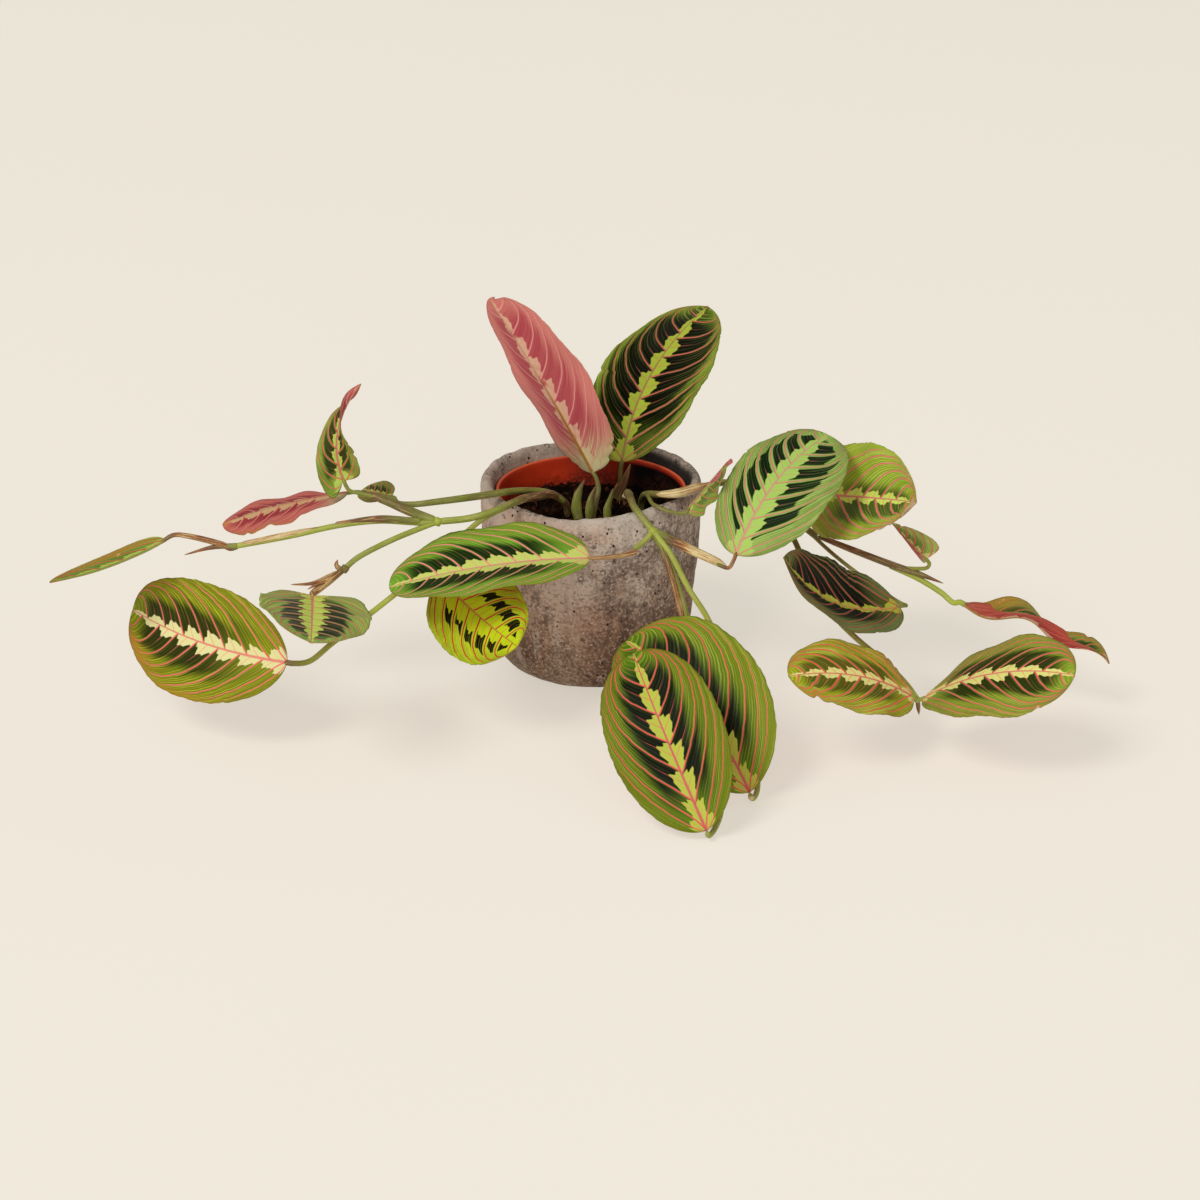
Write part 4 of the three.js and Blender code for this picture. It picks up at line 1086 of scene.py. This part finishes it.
def finely(corners, step):
    """The corners of a profile with more points between them, at most a step apart."""
    corners = np.asarray(corners, float)
    length = lengths_along(corners)
    places = np.union1d(length, np.linspace(0, length[-1], int(length[-1] / step)))
    return at_lengths(corners, length, places)


def arc(centre, radii, angles, count=14):
    """Points of an ellipse's arc round a centre, between two angles in degrees."""
    turn = np.radians(np.linspace(*angles, count))
    return np.array(centre) + np.array(radii) * np.stack([np.cos(turn), np.sin(turn)], axis=1)


def pot_profile():
    """Up the outside from the middle of the underside, over the lip and down to the floor."""
    part = np.linspace(0, 1, 20)[1:-1]
    wall = np.stack([61.5 + 7.5 * part + 4 * part * (1 - part), 25.5 + 93.5 * part], axis=1)
    return np.vstack([[0, 0], arc((36, 25.5), (25.5, 25.5), (-90, 0)), wall,
                      arc((65, 119), (4, 6), (0, 180)), [59, 69], [50, 20],
                      arc((47, 13), (2.6, 3), (-20, -90), 6), [0, 10]])


LIP_FOOT, LIP_HEIGHT = 108, 17
# Where the lip dips at the front left: degrees round the axis, how far down and over what height
DIP_BEARING, DIP_SPREAD, DIP_DEPTH, DIP_FOOT, DIP_HEIGHT = -110, 34, 4.2, 98, 20
points, quads, triangles = turned(finely(pot_profile(), step=2.2), sides=240)
radial = points * [1, 1, 0]
radial /= np.maximum(np.linalg.norm(radial, axis=1, keepdims=True), 1)
swell = ripples(points, 34, 3) * 0.35 + ripples(points, 11, 4) * 0.14
points = points + radial * (swell - 0.25)[:, None]
lip = np.clip((points[:, 2] - LIP_FOOT) / LIP_HEIGHT, 0, 1)
uneven = ripples(points * [1, 1, 0], 45, 5) * 0.55 + ripples(points, 9, 6) * 0.25 - 0.7
points[:, 2] += lip * uneven
bearing = np.degrees(np.arctan2(points[:, 1], points[:, 0]))
dip = np.exp(-((bearing - DIP_BEARING) / DIP_SPREAD) ** 2)
points[:, 2] -= DIP_DEPTH * dip * np.clip((points[:, 2] - DIP_FOOT) / DIP_HEIGHT, 0, 1)
cast_pot = mesh_piece("cast_pot", points, quads, triangles)
print("pot profile", len(pot_profile()), "corners")

# %% Cement
def cement_pattern(tree):
    """Clouds of taupe and pink-brown, dark blotches, sand of two tints and pores.

    Painted shade darkens the pot's right side, as a lamp at the left would, so that the blotches,
    dark runs and grain gather there; it is a little more below the middle and less near the lip.
    The pot is also darker towards the bottom. Pale runs of lime and darker wet runs streak it from
    the lip down. The lip is greyer, and the inside's back right is painted near-black as the
    leaves' shadow.
    """
    spot = place(tree)
    x, y, z = numbers_of(tree, spot)
    big = cloud(tree, spot, 15, 4, 0.6)
    blotch = cloud(tree, spot, 42, 6, 0.7)
    grain = cloud(tree, spot, 520, 4, 0.7)
    sparse = cloud(tree, spot, 110, 2)
    runs = cloud(tree, stretched(tree, spot, (1, 1, 0.12)), 85, 4, 0.6)
    # painted shade: more on the pot's right side, a little more low down and less near the lip
    damp = x.rise(-0.02, 0.07) * 0.09 + (1 - z.rise(0.02, 0.09)) * 0.03 - z.rise(0.1, 0.12) * 0.06
    sand = 1 - cells(tree, spot, 330).rise(0.1, 0.2)
    rings = cells(tree, spot, 120)
    ring = rings.rise(0.1, 0.16) * (1 - rings.rise(0.2, 0.28)) * sparse.rise(0.48, 0.56)
    pores = 1 - cells(tree, stretched(tree, spot, (1.3, 1.3, 1)), 190).rise(0.12, 0.2)
    pores = pores * cloud(tree, spot, 60, 2).rise(0.5, 0.56)
    within = (1 - (x * x + y * y).rise(0.061 ** 2, 0.0635 ** 2)) * z.rise(0.04, 0.06)
    upper = between(tree, big.rise(0.38, 0.62), "cabdae", "ae9482")
    lower = between(tree, big.rise(0.38, 0.62), "9e866f", "8c664e")
    colour = coated(tree, lower,
                    ((z + (big - 0.5) * 0.05).rise(0.025, 0.1), upper),
                    ((1 - z.rise(0.0, 0.05)) * 0.4, "4a3628"),
                    ((blotch + damp).rise(0.49, 0.65) * 0.52, "644c3b"),
                    ((runs + damp).rise(0.54, 0.7) * 0.35, "54463c"),
                    ((1 - runs.rise(0.3, 0.42)) * 0.45, "b9aea2"),
                    (z.rise(0.114, 0.123) * (blotch.rise(0.4, 0.6) * 0.4 + 0.3), "857a6d"),
                    ((grain + damp + (blotch - 0.5) * 0.35).rise(0.49, 0.64) * 0.5, "33271f"),
                    ((1 - grain.rise(0.34, 0.47)) * 0.4, "cfc2b2"),
                    (sand * sparse.rise(0.5, 0.56) * 0.75, "d9cdbd"),
                    (ring * 0.6, "2c211a"),
                    # painted shadow: the inside's back right made near-black where the leaves'
                    # shadow falls
                    (within * (x * 0.8 + y * 0.5).rise(0.01, 0.035) * 0.95, "0a0706"),
                    (pores, "120c09"))
    height = big * 0.4 + blotch * 0.7 + grain * 0.3 + runs * 0.3 - pores * 1.2 - ring * 0.25
    return colour, grain * 0.12 + 0.84, height


cement = finish("cast cement", cement_pattern, Specular_IOR_Level=0.25)
dress(cast_pot, cement, "cement", "outer_pot")

# %% [markdown]
# ## The plastic nursery pot
# Inside stands a thin pot of terracotta-coloured plastic, moulded with a stiff band at its rim, a
# few short ribs and drain holes. It is turned like the outer pot. The holes are cut by a Boolean,
# because a hole breaks the grid of a turned surface.

# %% Nursery pot
FLOOR_TOP, NURSERY_TOP = 10.3, 117
FOOT_RADIUS, FLARE = 43, 14.6
DRAIN_RING, DRAIN_RADIUS = 26, 4
# A low rib stands in each quarter of the wall's inside
RIB_BEARING, RIB_SPREAD, RIB_HEIGHT, RIB_FOOT, RIB_TOP = 24, 0.9, 0.9, 20, 107


def nursery_radius(height):
    """The outside of the wall: the foot's radius, plus the flare by the share of the height."""
    return FOOT_RADIUS + FLARE * (height - FLOOR_TOP) / (NURSERY_TOP - FLOOR_TOP)


band = nursery_radius(108)
profile = [[0, FLOOR_TOP], [42.4, FLOOR_TOP], [FOOT_RADIUS, FLOOR_TOP + 0.8], [band, 108],
           [band + 1.3, 108.4], [band + 1.4, 109], [58.9, 115.8],
           *arc((58, 116), (1, 1), (10, 170), 7), [56.7, 115.6], [band - 1.6, 106],
           [41.6, 12.6], [40.8, 11.9], [0, 11.9]]
points, quads, triangles = turned(finely(profile, step=3), sides=180)
angle = np.degrees(np.arctan2(points[:, 1], points[:, 0]))
radius = np.hypot(points[:, 0], points[:, 1])
inside = radius < nursery_radius(points[:, 2]) - 0.8
inside &= (points[:, 2] > RIB_FOOT) & (points[:, 2] < RIB_TOP)
rib = np.exp(-((angle - RIB_BEARING) % 90 / RIB_SPREAD) ** 2) * inside
points[:, :2] *= (1 - RIB_HEIGHT * rib / np.maximum(radius, 1))[:, None]
nursery = mesh_piece("moulded_pot", points, quads, triangles)
spots = [(DRAIN_RING * np.cos(turn), DRAIN_RING * np.sin(turn))
         for turn in np.arange(6) * np.pi / 3]
drains = together([tube([[x, y, 6], [x, y, 16]], DRAIN_RADIUS, 0) for x, y in spots])
cutter = mesh_piece("drain_cutter", *drains[:3])
cut = nursery.modifiers.new("drain holes", "BOOLEAN")
cut.operation = "DIFFERENCE"
cut.object = cutter
bpy.context.view_layer.update()
drilled = nursery.evaluated_get(bpy.context.evaluated_depsgraph_get())
drilled = bpy.data.meshes.new_from_object(drilled)
nursery.modifiers.clear()
nursery.data = drilled
bpy.data.objects.remove(cutter)
print("nursery pot", len(nursery.data.polygons), "faces with its drain holes")

# %% Terracotta plastic
def plastic_pattern(tree):
    """Orange-red plastic, paler at the rim, with painted shade on its right, black at the back
    right.
    """
    spot = place(tree)
    x, y, height = numbers_of(tree, spot)
    fine = cloud(tree, spot, 500, 3)
    broad = cloud(tree, spot, 40, 3)
    drift = (broad - 0.5) * 0.02
    # painted shade: the right half below the rim is darkened, and its back right made black as the
    # shadow there
    right = (x + drift).rise(0.01, 0.03) * (1 - height.rise(0.113, 0.1155))
    dust = (1 - (height + (broad - 0.5) * 0.03).rise(0.1, 0.111)) * fine.rise(0.38, 0.52)
    specks = 1 - cells(tree, spot, 300).rise(0.08, 0.16)
    colour = coated(tree, between(tree, broad, "92180a", "c03a16"),
                    # painted shade, then a painted shadow that blackens the back right
                    (right * 0.5, "3a0c06"),
                    (right * (y + drift).rise(-0.01, 0.012), "020101"),
                    (height.rise(0.1155, 0.117) * 0.7, "e06a44"),
                    (dust * 0.7, "3a2018"),
                    (specks * broad.rise(0.5, 0.6), "4a2a1c"))
    return colour, fine * 0.15 + 0.4, fine * 0.06


plastic = finish("terracotta plastic", plastic_pattern, Specular_IOR_Level=0.15)
dress(nursery, plastic, "terracotta_plastic", "nursery_pot")

# %% [markdown]
# ## Soil
# Potting soil is dark peat in crumbs of every size, with bits of bark and pale root. A height
# over the bed gives its lumps, and hundreds of crumbs of twenty faces each lie on it, drawn by a
# seeded rule, so that its edge and its shadows are rough when seen close up.

# %% The bed
BED_RISE, BED_INSET = 1.2, 2.3
LUMPS_END, LUMPS_FADE = 56, 6


def soil_height(x, y):
    """The bed's height: level, with lumps of three sizes on it that fade towards the wall."""
    points = np.stack([x, y, 0 * x], axis=-1)
    sizes = ((16, 11, 0.9), (6, 12, 0.6), (2.5, 13, 0.25))
    lumps = sum(ripples(points, size, seed) * height for size, seed, height in sizes)
    fade = np.clip((LUMPS_END - np.hypot(x, y)) / LUMPS_FADE, 0.3, 1)
    return SOIL_TOP + BED_RISE + lumps * fade


def inside_wall(height):
    """The bed's radius where it meets the nursery pot's wall."""
    return nursery_radius(height) - BED_INSET


BED_FOOT, BED_EDGE = 12.2, 97
foot, edge = inside_wall(BED_FOOT), inside_wall(BED_EDGE)
rings = np.stack([np.linspace(edge - 0.3, 0, 64), np.full(64, SOIL_TOP + 1.0)], axis=1)
profile = np.vstack([[[0, BED_FOOT], [foot - 0.6, BED_FOOT], [edge, BED_EDGE]], rings])
points, quads, triangles = turned(profile, sides=168)
top = points[:, 2] > SOIL_TOP
points[top, 2] = soil_height(points[top, 0], points[top, 1])
print("bed of soil", len(points), "points")

# %% Crumbs and bark
CRUMB_REACH = 53
ROOT_RADIUS = 0.28


def ball():
    """A twelve-point ball of twenty triangles: the corners of three crossed golden rectangles."""
    g = (1 + 5 ** 0.5) / 2
    corners = np.array([[-1, g, 0], [1, g, 0], [-1, -g, 0], [1, -g, 0], [0, -1, g], [0, 1, g],
                        [0, -1, -g], [0, 1, -g], [g, 0, -1], [g, 0, 1], [-g, 0, -1], [-g, 0, 1]])
    faces = np.array([[0, 11, 5], [0, 5, 1], [0, 1, 7], [0, 7, 10], [0, 10, 11], [1, 5, 9],
                      [5, 11, 4], [11, 10, 2], [10, 7, 6], [7, 1, 8], [3, 9, 4], [3, 4, 2],
                      [3, 2, 6], [3, 6, 8], [3, 8, 9], [4, 9, 5], [2, 4, 11], [6, 2, 10],
                      [8, 6, 7], [9, 8, 1]])
    return corners / np.linalg.norm(corners[0]), faces


def turns(draw, count):
    """Random turns as 3 by 3 matrices, from the QR split of random matrices."""
    q = np.linalg.qr(draw.normal(size=(count, 3, 3)))[0]
    return q * np.sign(np.linalg.det(q))[:, None, None]


def crumbs(count, smallest, largest, proportions, seed, depth):
    """Many dented balls on the bed. Their sizes are drawn so that small ones are the most."""
    draw = np.random.default_rng(seed)
    corners, faces = ball()
    size = smallest * (largest / smallest) ** (draw.random(count) ** 1.8)
    shape = corners * (1 + 0.28 * draw.normal(size=(count, 12, 1))) * np.array(proportions)
    shape = np.einsum("nij,nkj->nki", turns(draw, count), shape) * size[:, None, None]
    distance = CRUMB_REACH * np.sqrt(draw.random(count))
    angle = draw.uniform(0, 2 * np.pi, count)
    x, y = distance * np.cos(angle), distance * np.sin(angle)
    centre = np.stack([x, y, soil_height(x, y) + size * depth], axis=-1)
    places = (shape + centre[:, None, :]).reshape(-1, 3)
    faces = (faces[None] + 12 * np.arange(count)[:, None, None]).reshape(-1, 3)
    return places, np.zeros((0, 4), int), faces


def root_threads(count, seed):
    """Short curved threads of root that come out of the bed and go back in."""
    draw = np.random.default_rng(seed)
    threads = []
    for x, y, turn, length in draw.uniform([-38, -42, 0, 5], [38, 38, 6.28, 14], (count, 4)):
        way = np.array([np.cos(turn), np.sin(turn)])
        spots = np.array([x, y]) + way * length * np.array([[-1], [-0.3], [0.4], [1]]) / 2
        spots[1:3] += draw.normal(size=(2, 2))
        heights = soil_height(spots[:, 0], spots[:, 1]) + [-1.5, 1.0, 1.0, -1.5]
        line = np.column_stack([spots, heights])
        threads.append(tube(line, ROOT_RADIUS, 0.9, sides=6, step=1.2))
    return together(threads)


# The bed, crumbs of peat, lumps, chips of bark and roots, with the number that tints each kind
pile = [(points, quads, triangles),
        crumbs(950, 0.7, 2.6, (1, 0.9, 0.75), 21, 0.15),
        crumbs(80, 2.4, 5.0, (1, 0.8, 0.6), 22, 0.0),
        crumbs(90, 1.6, 4.2, (1, 0.4, 0.22), 23, 0.2),
        root_threads(16, 24)[:3]]
KINDS = (0, 0.3, 0.5, 0.7, 1.0)
*surface, kinds = together([(*part, np.full(len(part[0]), kind))
                            for part, kind in zip(pile, KINDS)])
bed = mesh_piece("potting_soil", *surface, kind=kinds)
print("soil", len(bed.data.polygons), "faces")

# %% Peat, bark and root
def soil_pattern(tree):
    """Near-black peat with red-brown grains; crumbs, bark and roots get their own tints."""
    spot = place(tree)
    kind = numbers_of(tree, painted_on(tree, "kind"))[0]
    grains = cloud(tree, spot, 260, 4, 0.7)
    broad = cloud(tree, spot, 70, 3)
    tint = kind * 0.5 + (grains - 0.5) * 0.8 + (broad - 0.5) * 0.5 + 0.2
    colour = ramp(tree, tint, [(0.0, "030201"), (0.3, "100704"), (0.5, "2c140a"), (0.68, "572e1a"),
                               (0.85, "7d4e2c"), (1.0, "b08654")])
    height = grains * 0.8 + broad * 0.5
    return colour, grains * 0.1 + 0.85, height


peat = finish("potting soil", soil_pattern, Specular_IOR_Level=0.05)
dress(bed, peat, "soil", "soil")

# %% [markdown]
# ## Finishing
# The finished plant's box is printed beside the imported one's, so that both can be compared: the
# finer surfaces must not make the plant larger than its solids.

# %% Print both sizes
shown_box = [list(corner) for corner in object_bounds()]
for label, box in (("packed", cad_box), ("shown", shown_box)):
    print(label, [[round(value * 1000, 1) for value in corner] for corner in box])
